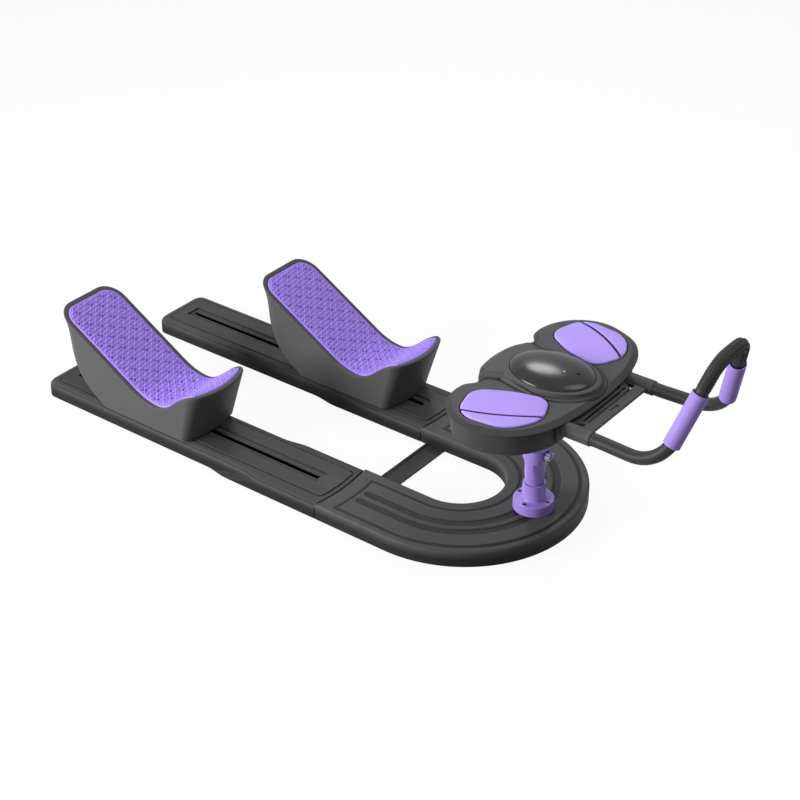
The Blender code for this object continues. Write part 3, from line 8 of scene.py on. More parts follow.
import json
import logging
import math
from dataclasses import dataclass
from enum import Enum
from typing import Any, Iterable, Sequence

import bpy
import numpy as np
from mathutils import Matrix, Vector
from mathutils.kdtree import KDTree

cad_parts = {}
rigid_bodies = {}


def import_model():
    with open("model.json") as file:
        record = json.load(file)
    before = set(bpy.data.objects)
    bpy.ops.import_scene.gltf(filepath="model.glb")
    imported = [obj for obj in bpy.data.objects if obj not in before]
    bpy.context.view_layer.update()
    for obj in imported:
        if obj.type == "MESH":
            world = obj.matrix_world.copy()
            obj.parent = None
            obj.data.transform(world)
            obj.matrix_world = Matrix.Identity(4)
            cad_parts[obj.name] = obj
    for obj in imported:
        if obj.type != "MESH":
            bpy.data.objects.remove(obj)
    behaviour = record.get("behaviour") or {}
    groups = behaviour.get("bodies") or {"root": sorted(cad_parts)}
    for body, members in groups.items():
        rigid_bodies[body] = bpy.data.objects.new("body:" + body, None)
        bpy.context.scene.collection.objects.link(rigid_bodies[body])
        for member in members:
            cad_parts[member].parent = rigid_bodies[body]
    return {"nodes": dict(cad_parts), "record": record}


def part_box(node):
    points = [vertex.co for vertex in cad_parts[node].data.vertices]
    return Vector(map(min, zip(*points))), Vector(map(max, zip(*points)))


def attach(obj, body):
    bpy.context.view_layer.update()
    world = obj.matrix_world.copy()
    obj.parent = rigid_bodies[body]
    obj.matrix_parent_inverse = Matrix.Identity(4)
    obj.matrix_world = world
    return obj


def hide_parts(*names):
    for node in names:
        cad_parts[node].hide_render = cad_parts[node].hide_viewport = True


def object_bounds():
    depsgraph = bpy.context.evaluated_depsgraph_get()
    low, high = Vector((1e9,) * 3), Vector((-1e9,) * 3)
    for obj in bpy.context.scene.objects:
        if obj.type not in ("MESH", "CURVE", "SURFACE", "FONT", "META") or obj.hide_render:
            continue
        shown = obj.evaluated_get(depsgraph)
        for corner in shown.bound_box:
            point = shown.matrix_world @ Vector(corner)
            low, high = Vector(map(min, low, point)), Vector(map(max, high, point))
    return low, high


LOG = logging.getLogger("core_trainer")
WELD = 0.00001
RAIL_LENGTH = 0.702
QUARTER_TURN = math.pi / 2
# The mats' relief is stored from 0, deep in a pit, over these two levels to 1, on top of a line.
PIT_LEVEL = 0.35
FLAT_LEVEL = 0.40
# One over the greatest value of t * (1 - t) ** 2, which shapes the bulge of a cradle's back.
BULGE_PEAK = 27 / 4
# Angles in degrees past which an edge stays sharp: on round pieces, and where none is to stay so.
ROUND_CREASE = 60.0
NO_CREASE = 180.0

for leftover in list(bpy.data.objects):
    bpy.data.objects.remove(leftover, do_unlink=True)
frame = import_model()
CAD_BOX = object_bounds()


class Side(Enum):
    """The two sides of the trainer, by their sign along Y."""

    RIGHT = -1
    LEFT = 1

    @property
    def label(self) -> str:
        """The side's word in the names of nodes."""
        return self.name.lower()


class Value:
    """A node's output that takes part in arithmetic."""

    def __init__(self, owner: "Tree", socket: bpy.types.NodeSocket) -> None:
        """Keeps the tree and the socket.

        Args:
            owner: The tree that new Math nodes go into.
            socket: The output that this value stands for.
        """
        self.owner = owner
        self.socket = socket

    def _math(self, operation: str, *terms: "Value | float") -> "Value":
        """Adds one Math node.

        Args:
            operation: The node's operation.
            terms: Its inputs, in order.

        Returns:
            The node's result.
        """
        return self.owner.add("ShaderNodeMath", {"operation": operation}, dict(enumerate(terms)))

    def __add__(self, other: "Value | float") -> "Value":
        """Sum."""
        return self._math("ADD", self, other)

    def __radd__(self, other: float) -> "Value":
        """Sum with a number on the left."""
        return self._math("ADD", other, self)

    def __sub__(self, other: "Value | float") -> "Value":
        """Difference."""
        return self._math("SUBTRACT", self, other)

    def __rsub__(self, other: float) -> "Value":
        """Difference with a number on the left."""
        return self._math("SUBTRACT", other, self)

    def __mul__(self, other: "Value | float") -> "Value":
        """Product."""
        return self._math("MULTIPLY", self, other)

    def __rmul__(self, other: float) -> "Value":
        """Product with a number on the left."""
        return self._math("MULTIPLY", other, self)

    def __abs__(self) -> "Value":
        """Size without sign."""
        return self._math("ABSOLUTE", self)

    def maximum(self, other: "Value | float") -> "Value":
        """The larger of the two."""
        return self._math("MAXIMUM", self, other)

    def step(self, low: float, high: float) -> "Value":
        """Rises smoothly from 0 to 1.

        Args:
            low: The input at which the result leaves 0.
            high: The input at which it reaches 1.

        Returns:
            The smoothed step.
        """
        settings = {"interpolation_type": "SMOOTHSTEP"}
        return self.owner.add("ShaderNodeMapRange", settings, {0: self, 1: low, 2: high, 3: 0.0, 4: 1.0})


class Tree:
    """Adds nodes to one node tree and links their sockets."""

    def __init__(self, tree: bpy.types.NodeTree) -> None:
        """Keeps the tree."""
        self.tree = tree

    def link(self, value: Any, target: bpy.types.NodeSocket) -> None:
        """Feeds an input from another node, or sets it.

        Args:
            value: A Value to link, or a constant.
            target: The input.
        """
        if isinstance(value, Value):
            self.tree.links.new(value.socket, target)
        else:
            target.default_value = value

    def add(self, kind: str, settings: dict[str, Any] | None = None,
            inputs: dict[int | str, Any] | None = None, output: int | str = 0) -> Value:
        """Adds a node.

        Args:
            kind: The node's type.
            settings: Its properties, which are set first.
            inputs: Values or links for its inputs, by name or by place.
            output: The output that is returned, by name or by place.

        Returns:
            The chosen output.
        """
        node = self.tree.nodes.new(kind)
        for key, value in (settings or {}).items():
            setattr(node, key, value)
        for key, value in (inputs or {}).items():
            for item in value if isinstance(value, list) else [value]:
                self.link(item, node.inputs[key])
        return Value(self, node.outputs[output])


class Shader(Tree):
    """A material's node tree round its Principled shader."""

    def __init__(self, name: str) -> None:
        """Makes the material.

        Args:
            name: The material's name.
        """
        self.material = bpy.data.materials.new(name)
        self.material.use_nodes = True
        super().__init__(self.material.node_tree)
        self.principled = self.tree.nodes["Principled BSDF"]

    def place(self) -> Value:
        """The object's own coordinates, in metres."""
        return self.add("ShaderNodeTexCoord", output="Object")

    def axes(self) -> list[Value]:
        """The object's own coordinates as three numbers."""
        split = self.add("ShaderNodeSeparateXYZ", inputs={0: self.place()})
        return [Value(self, socket) for socket in split.socket.node.outputs]

    def noise(self, size: float, detail: float = 2.0, stretch: Sequence[float] = (1, 1, 1)) -> Value:
        """Adds cloudy noise.

        Args:
            size: How wide its blotches are, in metres.
            detail: How many finer layers it has.
            stretch: How much longer the blotches are along each axis.

        Returns:
            A value from 0 to 1.
        """
        scale = tuple(1 / share for share in stretch)
        where = self.add("ShaderNodeMapping", inputs={"Vector": self.place(), "Scale": scale})
        return self.add("ShaderNodeTexNoise", inputs={"Vector": where, "Scale": 1 / size, "Detail": detail})

    def mix(self, factor: Value | float, first: Any, second: Any) -> Value:
        """Mixes two colours.

        Args:
            factor: The share of the second colour.
            first: A colour or a link.
            second: A colour or a link.

        Returns:
            The mixed colour.
        """
        return self.add("ShaderNodeMix", {"data_type": "RGBA"}, {0: factor, 6: first, 7: second}, 2)

    def attribute(self, name: str) -> Value:
        """A number stored on the piece's own mesh."""
        return self.add("ShaderNodeAttribute", {"attribute_name": name}, output="Fac")


def rgba(color: Sequence[float], gain: float = 1.0) -> tuple[float, float, float, float]:
    """A colour with full alpha, made brighter or darker by a gain."""
    return (*(min(part * gain, 1.0) for part in color), 1.0)


@dataclass(frozen=True)
class Finish:
    """A surface with a broad mottle, a fine grain and uneven gloss."""

    color: tuple[float, float, float]
    roughness: float
    metallic: float = 0.0
    mottle: float = 0.08
    mottle_size: float = 0.06
    gloss_drift: float = 0.06
    grain_size: float = 0.0008
    grain_depth: float = 0.00003
    grain_detail: float = 1.0
    specular: float = 0.5
    mottle_detail: float = 4.0
    gloss_detail: float = 5.0
    gloss_finer: float = 3.0

    def tone(self, shader: Shader) -> Value:
        """Mottles the base colour.

        Args:
            shader: The material's tree.

        Returns:
            The colour.
        """
        cloud = shader.noise(self.mottle_size, self.mottle_detail)
        return shader.mix(cloud, rgba(self.color, 1 - self.mottle), rgba(self.color, 1 + self.mottle))

    def sheen(self, shader: Shader) -> Value:
        """Varies the roughness.

        Args:
            shader: The material's tree.

        Returns:
            The roughness.
        """
        cloud = shader.noise(self.mottle_size / self.gloss_finer, self.gloss_detail)
        return cloud * (2 * self.gloss_drift) + (self.roughness - self.gloss_drift)

    def height(self, shader: Shader) -> Value:
        """Makes the fine grain.

        Args:
            shader: The material's tree.

        Returns:
            The bump's height, from 0 to 1.
        """
        return shader.noise(self.grain_size, self.grain_detail)

    def build(self, name: str) -> bpy.types.Material:
        """Makes the material.

        Args:
            name: The material's name.

        Returns:
            The material.
        """
        shader = Shader(name)
        socket = shader.principled.inputs
        socket["Metallic"].default_value = self.metallic
        socket["Specular IOR Level"].default_value = self.specular
        shader.link(self.tone(shader), socket["Base Color"])
        shader.link(self.sheen(shader), socket["Roughness"])
        bump = {"Strength": 1.0, "Distance": self.grain_depth, "Height": self.height(shader)}
        shader.link(shader.add("ShaderNodeBump", inputs=bump, output="Normal"), socket["Normal"])
        return shader.material


@dataclass(frozen=True)
class MouldedPlastic(Finish):
    """Satin moulded plastic with faint scuffs, which lie mostly along the rails, and painted shade low down
    towards the floor.
    """

    scuff: float = 0.25
    scuff_size: float = 0.004
    scuff_detail: float = 3.0
    scuff_stretch: tuple[float, float, float] = (9.0, 1.0, 1.0)
    scuff_limits: tuple[float, float] = (0.62, 0.78)
    scuff_gain: float = 1.7
    worn_detail: float = 2.0
    worn_limits: tuple[float, float] = (0.5, 0.7)
    # Painted shade near the floor: the colour's share there, and the heights over which it fades out.
    skirt_gain: float = 0.22
    skirt_limits: tuple[float, float] = (0.014, 0.0345)

    def tone(self, shader: Shader) -> Value:
        """Lightens the mottled colour where it is scuffed, and darkens it towards the floor as painted shade.

        Args:
            shader: The tree that the nodes are put in.

        Returns:
            The colour.
        """
        scratches = shader.noise(self.scuff_size, self.scuff_detail, self.scuff_stretch)
        patches = shader.noise(self.mottle_size, self.worn_detail)
        worn = scratches.step(*self.scuff_limits) * patches.step(*self.worn_limits) * self.scuff
        # Painted shade: 1 low down by the floor, 0 from the upper height up.
        floor_shade = 1 - shader.axes()[2].step(*self.skirt_limits)
        clean = shader.mix(worn, super().tone(shader), rgba(self.color, self.scuff_gain))
        return shader.mix(floor_shade, clean, rgba(self.color, self.skirt_gain))


@dataclass(frozen=True)
class GroovedPlastic(MouldedPlastic):
    """Moulded plastic with painted shade down in its grooves."""

    groove_gain: float = 0.42
    groove_limits: tuple[float, float] = (0.1, 0.9)

    def tone(self, shader: Shader) -> Value:
        """Paints shade by the groove shares that are stored on the mesh."""
        # Painted shade: the stored shares mark grooves and other places that lie in shade.
        groove = shader.attribute("groove").step(*self.groove_limits)
        return shader.mix(groove, super().tone(shader), rgba(self.color, self.groove_gain))


@dataclass(frozen=True)
class RunningDeck(MouldedPlastic):
    """Moulded plastic that the carriage's shoe has polished beside the slot."""

    track_offset: float = 0.16
    polish_half: float = 0.026
    polish_core: float = 0.6
    polish: float = 0.10

    def sheen(self, shader: Shader) -> Value:
        """Smooths a band along each track.

        Args:
            shader: The tree that the nodes are put in.

        Returns:
            The roughness.
        """
        distance = abs(abs(shader.axes()[1]) - self.track_offset)
        band = 1 - distance.step(self.polish_half * self.polish_core, self.polish_half)
        return super().sheen(shader) - band * self.polish


@dataclass(frozen=True)
class EmbossedFoam(Finish):
    """Foam whose raised lines are painted paler as highlight and whose pits are painted darker as shade."""

    ridge_gain: float = 1.20
    pit_gain: float = 0.34
    ridge_limits: tuple[float, float] = (0.55, 0.9)

    def tone(self, shader: Shader) -> Value:
        """Paints highlight on the raised lines and shade in the pits, following the relief that is stored on
        the mesh.

        Args:
            shader: The tree that the nodes are put in.

        Returns:
            The colour.
        """
        relief = shader.attribute("relief")
        # Painted shade in the pits.
        pits = rgba(self.color, self.pit_gain)
        lower = shader.mix(relief.step(0.0, PIT_LEVEL), pits, super().tone(shader))
        # Painted highlight on the raised lines.
        return shader.mix(relief.step(*self.ridge_limits), lower, rgba(self.color, self.ridge_gain))


@dataclass(frozen=True)
class SeamedFoam(Finish):
    """Smooth foam skin with a dark sunk seam."""

    seam_color: tuple[float, float, float] = (0.022, 0.010, 0.050)
    seam_limits: tuple[float, float] = (0.25, 0.75)

    def tone(self, shader: Shader) -> Value:
        """Darkens the seam that is stored on the mesh."""
        seam = shader.attribute("seam").step(*self.seam_limits)
        return shader.mix(seam, super().tone(shader), rgba(self.seam_color))


@dataclass(frozen=True)
class BrushedMetal(Finish):
    """Plated steel with fine lines along X."""

    grain_detail: float = 2.0
    line_stretch: tuple[float, float, float] = (40.0, 1.0, 1.0)

    def height(self, shader: Shader) -> Value:
        """Stretches the grain into lines."""
        return shader.noise(self.grain_size, self.grain_detail, self.line_stretch)


FINISHES: dict[str, Finish] = {
    "black_plastic": MouldedPlastic((0.066, 0.065, 0.065), 0.54, specular=0.10),
    "grooved_plastic": GroovedPlastic((0.066, 0.065, 0.065), 0.54, specular=0.10),
    # A darker copy of the black plastic for the rails and the tray, as painted shade.
    "rail_plastic": MouldedPlastic((0.048, 0.0475, 0.048), 0.54, specular=0.10),
    # A darker copy again for the decks, as the cradles' painted shadow.
    "deck_plastic": RunningDeck((0.038, 0.0375, 0.038), 0.48, specular=0.14),
    "black_steel": Finish((0.028, 0.0275, 0.028), 0.46, grain_size=0.0011,
                          grain_depth=0.00004, specular=0.15),
    "zinc_steel": BrushedMetal((0.52, 0.52, 0.54), 0.34, metallic=1.0, grain_depth=0.00001),
    # Painted shade: a flat black without gloss, for the roller tracks down in the slots and the sensor hole.
    "dark_track": Finish((0.010, 0.010, 0.010), 0.70, specular=0.0),
    "purple_plastic": Finish((0.280, 0.190, 0.575), 0.34, mottle=0.04, specular=0.35, grain_depth=0.00001),
    "purple_foam": Finish((0.330, 0.228, 0.640), 0.62, mottle=0.05, grain_size=0.0014,
                          grain_depth=0.00006, specular=0.2),
    "mat_foam": EmbossedFoam((0.300, 0.200, 0.690), 0.66, mottle=0.05, grain_size=0.0010,
                             grain_depth=0.00005, specular=0.15),
    "lilac_pad": SeamedFoam((0.417, 0.300, 0.835), 0.62, mottle=0.03, grain_size=0.0007, specular=0.15),
    "gloss_black": Finish((0.018, 0.018, 0.019), 0.20, mottle=0.05, gloss_drift=0.02, specular=0.24,
                          grain_depth=0.000002),
    "black_rubber": Finish((0.026, 0.026, 0.027), 0.68, grain_depth=0.00005, specular=0.2),
    "circuit_green": Finish((0.02, 0.12, 0.06), 0.45),
    "sensor_white": Finish((0.85, 0.85, 0.85), 0.25, mottle=0.02, grain_depth=0.000002),
}


MATERIALS = {name: finish.build(name) for name, finish in FINISHES.items()}


def finished(name: str, points: np.ndarray | Sequence, faces: Iterable[Sequence[int]], material: str,
             crease: float = 40.0) -> bpy.types.Object:
    """Makes a smooth-shaded piece from points and faces.

    Args:
        name: The piece's name.
        points: Its vertices.
        faces: Its faces, as lists of places in points.
        material: The finish's name.
        crease: The angle in degrees past which an edge stays sharp.

    Returns:
        The piece.
    """
    mesh = bpy.data.meshes.new(name)
    mesh.from_pydata([tuple(point) for point in points], [], [tuple(face) for face in faces])
    mesh.materials.append(MATERIALS[material])
    mesh.shade_smooth()
    mesh.set_sharp_from_angle(angle=math.radians(crease))
    piece = bpy.data.objects.new(name, mesh)
    bpy.context.scene.collection.objects.link(piece)
    return piece


def applied(source: bpy.types.Object, name: str) -> bpy.types.Object:
    """Turns an object with modifiers into a plain mesh object and removes the source.

    Args:
        source: The object with its modifiers.
        name: The new object's name.

    Returns:
        The plain object.
    """
    bpy.context.view_layer.update()
    graph = bpy.context.evaluated_depsgraph_get()
    mesh = bpy.data.meshes.new_from_object(source.evaluated_get(graph))
    mesh.name = name
    bpy.data.objects.remove(source, do_unlink=True)
    piece = bpy.data.objects.new(name, mesh)
    bpy.context.scene.collection.objects.link(piece)
    return piece


def store(piece: bpy.types.Object, name: str, values: np.ndarray) -> None:
    """Stores a number on each vertex of a piece.

    Args:
        piece: The piece.
        name: The attribute's name.
        values: One number for each vertex.
    """
    layer = piece.data.attributes.new(name, "FLOAT", "POINT")
    layer.data.foreach_set("value", values.astype(np.float32))


def place_piece(piece: bpy.types.Object, body: str, slot: str, *nodes: str) -> bpy.types.Object:
    """Hangs a piece on its body and hides what it stands for.

    Args:
        piece: The piece.
        body: The body that carries it.
        slot: The record's material slot; not used.
        nodes: The nodes that it replaces.

    Returns:
        The piece.
    """
    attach(piece, body)
    if nodes:
        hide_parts(*nodes)
    LOG.info("%s rides on %s with %d faces", piece.name, body, len(piece.data.polygons))
    return piece


def ring_faces(rings: int, count: int) -> list[tuple[int, ...]]:
    """Joins closed rings of points into faces.

    Args:
        rings: How many rings follow each other.
        count: How many points each has.

    Returns:
        The faces.
    """
    faces = []
    for low in range(0, (rings - 1) * count, count):
        for k in range(count):
            j = (k + 1) % count
            faces.append((low + k, low + j, low + count + j, low + count + k))
    return faces


def closed_faces(rings: int, count: int) -> list[tuple[int, ...]]:
    """Joins closed rings of points into faces, and closes the first and the last ring.

    Args:
        rings: How many rings follow each other.
        count: How many points each has.

    Returns:
        The faces.
    """
    last = (rings - 1) * count
    return ring_faces(rings, count) + [tuple(reversed(range(count))), tuple(range(last, last + count))]


def transported(path: np.ndarray) -> tuple[np.ndarray, np.ndarray]:
    """Finds two directions square to a path at each of its points, without twist.

    Args:
        path: The points.

    Returns:
        The two directions for each point.
    """
    tangent = np.gradient(path, axis=0)
    tangent /= np.linalg.norm(tangent, axis=1)[:, None]
    across = np.cross(tangent[0], (0.0, 0.0, 1.0))
    sides = []
    for direction in tangent:
        across = across - direction * np.dot(across, direction)
        across = across / np.linalg.norm(across)
        sides.append(across)
    first = np.array(sides)
    return first, np.cross(tangent, first)


def tube(path: np.ndarray, radii: np.ndarray | float, sides: int) -> tuple[np.ndarray, list[tuple[int, ...]]]:
    """Skins a round tube along a path and closes both ends.

    Args:
        path: The centre line's points.
        radii: The radius at each point, or one for all.
        sides: How many points go round.

    Returns:
        The points and the faces.
    """
    first, second = transported(path)
    angles = np.linspace(0, 2 * math.pi, sides, endpoint=False)
    radius = np.broadcast_to(radii, len(path))[:, None, None]
    rings = path[:, None] + radius * (np.cos(angles)[None, :, None] * first[:, None]
                                      + np.sin(angles)[None, :, None] * second[:, None])
    return rings.reshape(-1, 3), closed_faces(len(path), sides)


def column_x() -> float:
    """Gives the column's place along X."""
    low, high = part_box("column_post")
    return (low.x + high.x) / 2


def eased(share: np.ndarray) -> np.ndarray:
    """Clips a share to 0 and 1 and rounds its ends."""
    share = np.clip(share, 0, 1)
    return share * share * (3 - 2 * share)


def vertex_places(mesh: bpy.types.Mesh) -> np.ndarray:
    """Reads the places of a mesh's vertices.

    Args:
        mesh: The mesh.

    Returns:
        One row of three numbers for each vertex.
    """
    places = np.zeros(len(mesh.vertices) * 3)
    mesh.vertices.foreach_get("co", places)
    return places.reshape(-1, 3)


def nearest(points: np.ndarray, line: np.ndarray) -> np.ndarray:
    """Measures how far points lie in plan from the nearest point of a line.

    Args:
        points: Places in plan.
        line: The line's points.

    Returns:
        The distances.
    """
    tree = KDTree(len(line))
    for place, (x, y) in enumerate(line):
        tree.insert((x, y, 0), place)
    tree.balance()
    return np.array([tree.find((x, y, 0))[2] for x, y in points])


def within(points: np.ndarray, outline: np.ndarray) -> np.ndarray:
    """Tells which places lie inside a closed outline.

    Args:
        points: Places in plan.
        outline: The outline's points.

    Returns:
        One truth value for each place.
    """
    inside = np.zeros(len(points), bool)
    x, y = points[:, 0], points[:, 1]
    for a, b in zip(outline, np.roll(outline, -1, axis=0)):
        crosses = (a[1] > y) != (b[1] > y)
        if a[1] != b[1]:
            inside ^= crosses & (x < (b[0] - a[0]) * (y - a[1]) / (b[1] - a[1]) + a[0])
    return inside


def travelled(line: np.ndarray) -> np.ndarray:
    """Gives the length run along a line up to each of its points."""
    return np.concatenate([[0], np.cumsum(np.linalg.norm(np.diff(line, axis=0), axis=1))])


def resampled(line: np.ndarray, count: int, closed: bool = True) -> np.ndarray:
    """Spaces points evenly along a line.

    Args:
        line: The line's points.
        count: How many points to give.
        closed: Whether the line runs back to its first point.

    Returns:
        The new points.
    """
    if closed:
        line = np.concatenate([line, line[:1]])
    run = travelled(line)
    even = np.linspace(0, run[-1], count, endpoint=not closed)
    return np.stack([np.interp(even, run, values) for values in line.T], -1)


def rounded_corner(before: Vector, corner: Vector, after: Vector, radius: float,
                   steps: int) -> list[tuple[float, ...]]:
    """Rounds a corner of a line.

    Args:
        before: The point before the corner.
        corner: The corner.
        after: The point after it.
        radius: The arc's radius.
        steps: The arc's steps.

    Returns:
        The arc's points.
    """
    back, ahead = (before - corner).normalized(), (after - corner).normalized()
    half = back.angle(ahead) / 2
    sweep = math.pi - 2 * half
    center = corner + (back + ahead).normalized() * radius / math.sin(half)
    start, end = (corner + way * radius / math.tan(half) - center for way in (back, ahead))
    return [tuple(center + (start * math.sin((1 - t) * sweep) + end * math.sin(t * sweep)) / math.sin(sweep))
            for t in np.linspace(0, 1, steps + 1)]


class EvenShading:
    """Welds the loose triangles of a carried-over node and shades its soft edges smooth."""

    def __init__(self, crease: float = 32.0) -> None:
        """Builds the tree.

        Args:
            crease: The angle in degrees past which an edge stays sharp.
        """
        self.group = bpy.data.node_groups.new("even_shading", "GeometryNodeTree")
        face = self.group.interface
        face.new_socket("Geometry", in_out="INPUT", socket_type="NodeSocketGeometry")
        face.new_socket("Geometry", in_out="OUTPUT", socket_type="NodeSocketGeometry")
        tree = Tree(self.group)
        start = tree.add("NodeGroupInput")
        welded = tree.add("GeometryNodeMergeByDistance", inputs={"Geometry": start, "Distance": WELD})
        smooth = tree.add("GeometryNodeSetShadeSmooth", {"domain": "FACE"},
                          {"Geometry": welded, "Shade Smooth": True})
        angle = tree.add("GeometryNodeInputMeshEdgeAngle")
        sharp = tree.add("FunctionNodeCompare", {"operation": "GREATER_THAN"},
                         {"A": angle, "B": math.radians(crease)})
        creased = tree.add("GeometryNodeSetShadeSmooth", {"domain": "EDGE"},
                           {"Geometry": smooth, "Selection": sharp, "Shade Smooth": False})
        tree.link(creased, self.group.nodes.new("NodeGroupOutput").inputs[0])

    def dress(self, node: bpy.types.Object) -> None:
        """Adds the tree to a node as a modifier."""
        node.modifiers.new("even_shading", "NODES").node_group = self.group


@dataclass(frozen=True)
class Seat:
    """The curve and the plan that a cradle's seat follows, from its rear edge."""

    length: float = 0.3480
    width: float = 0.150
    rear_corner: float = 0.038
    front_corner: float = 0.014
    bow: float = 0.0205
    bow_start: float = 0.205
    valley_x: float = 0.250
    valley_rise: float = 0.052
    slope: float = 0.585
    curve: float = 4.9
    lip_rise: float = 0.055
    probe: float = 0.0003

    def height(self, x: np.ndarray) -> np.ndarray:
        """Gives the seat's height over its floor.

        Args:
            x: Places along the cradle.

        Returns:
            The heights: a straight slope, a valley and a rising lip.
        """
        d = x - self.valley_x
        turn = self.slope / (2 * self.curve)
        share = np.clip(d / (self.length - self.valley_x), 0, 1)
        lip = self.lip_rise * np.sin(QUARTER_TURN * share) ** 2
        valley = self.curve * np.clip(d, -turn, 0) ** 2
        back = -self.slope * np.minimum(d + turn, 0)
        return self.valley_rise + lip + valley + back

    def bowed(self, x: np.ndarray, y: np.ndarray) -> np.ndarray:
        """Shifts places along the cradle by the bow of its front."""
        share = np.clip((x - self.bow_start) / (self.length - self.bow_start), 0, 1)
        return x + self.bow * share * (1 - (2 * y / self.width) ** 2)

    def point(self, x: np.ndarray, y: np.ndarray, depth: np.ndarray | float) -> np.ndarray:
        """Gives points at a distance over the seat, along the seat's own normal.

        Args:
            x: Places along the cradle.
            y: Places across it.
            depth: Distances over the seat.

        Returns:
            The points, with height counted from the cradle's floor.
        """
        rise = (self.height(x + self.probe) - self.height(x - self.probe)) / (2 * self.probe)
        size = np.hypot(rise, 1)
        along = self.bowed(x, y) - rise / size * depth
        return np.stack([along, y + 0 * x, self.height(x) + depth / size], -1)

    def half_width(self, x: np.ndarray, edge: float) -> np.ndarray:
        """Gives the plan's half width where it is drawn in by a margin.

        Args:
            x: Places along the cradle.
            edge: The margin.

        Returns:
            The half widths.
        """
        half = self.width / 2 - edge
        rear = self.rear_corner - edge
        front = self.front_corner - edge
        into_rear = np.clip(rear - (x - edge), 0, rear)
        into_front = np.clip(front - (self.length - edge - x), 0, front)
        return (half - rear + np.sqrt(np.maximum(rear ** 2 - into_rear ** 2, 0))
                - front + np.sqrt(np.maximum(front ** 2 - into_front ** 2, 0)))

    def loop(self, edge: float, steps: int = 12, rows: int = 40, across: int = 6) -> np.ndarray:
        """Gives the closed plan, drawn in by a margin, from the rear centre round the right side.

        Args:
            edge: The margin.
            steps: The points of each corner.
            rows: The points of each long side.
            across: The points of half of each end.

        Returns:
            The plan's points.
        """
        half = self.width / 2 - edge
        rear = self.rear_corner - edge
        front = self.front_corner - edge
        turn = np.linspace(0, QUARTER_TURN, steps + 1)
        start = self.rear_corner
        end = self.length - self.front_corner
        ramp = np.linspace(0, 1, across, endpoint=False)
        side = np.linspace(start, end, rows + 1)[1:-1]
        parts = [
            np.stack([np.full(across, edge), (rear - half) * ramp], -1),
            np.stack([start - rear * np.cos(turn), rear - half - rear * np.sin(turn)], -1),
            np.stack([side, np.full(rows - 1, -half)], -1),
            np.stack([end + front * np.sin(turn), front - half - front * np.cos(turn)], -1),
            np.stack([np.full(across, self.length - edge), (front - half) * (1 - ramp - 1 / across)], -1),
        ]
        right = np.concatenate(parts)
        left = right[1:-1][::-1] * (1, -1)
        return np.concatenate([right, left])


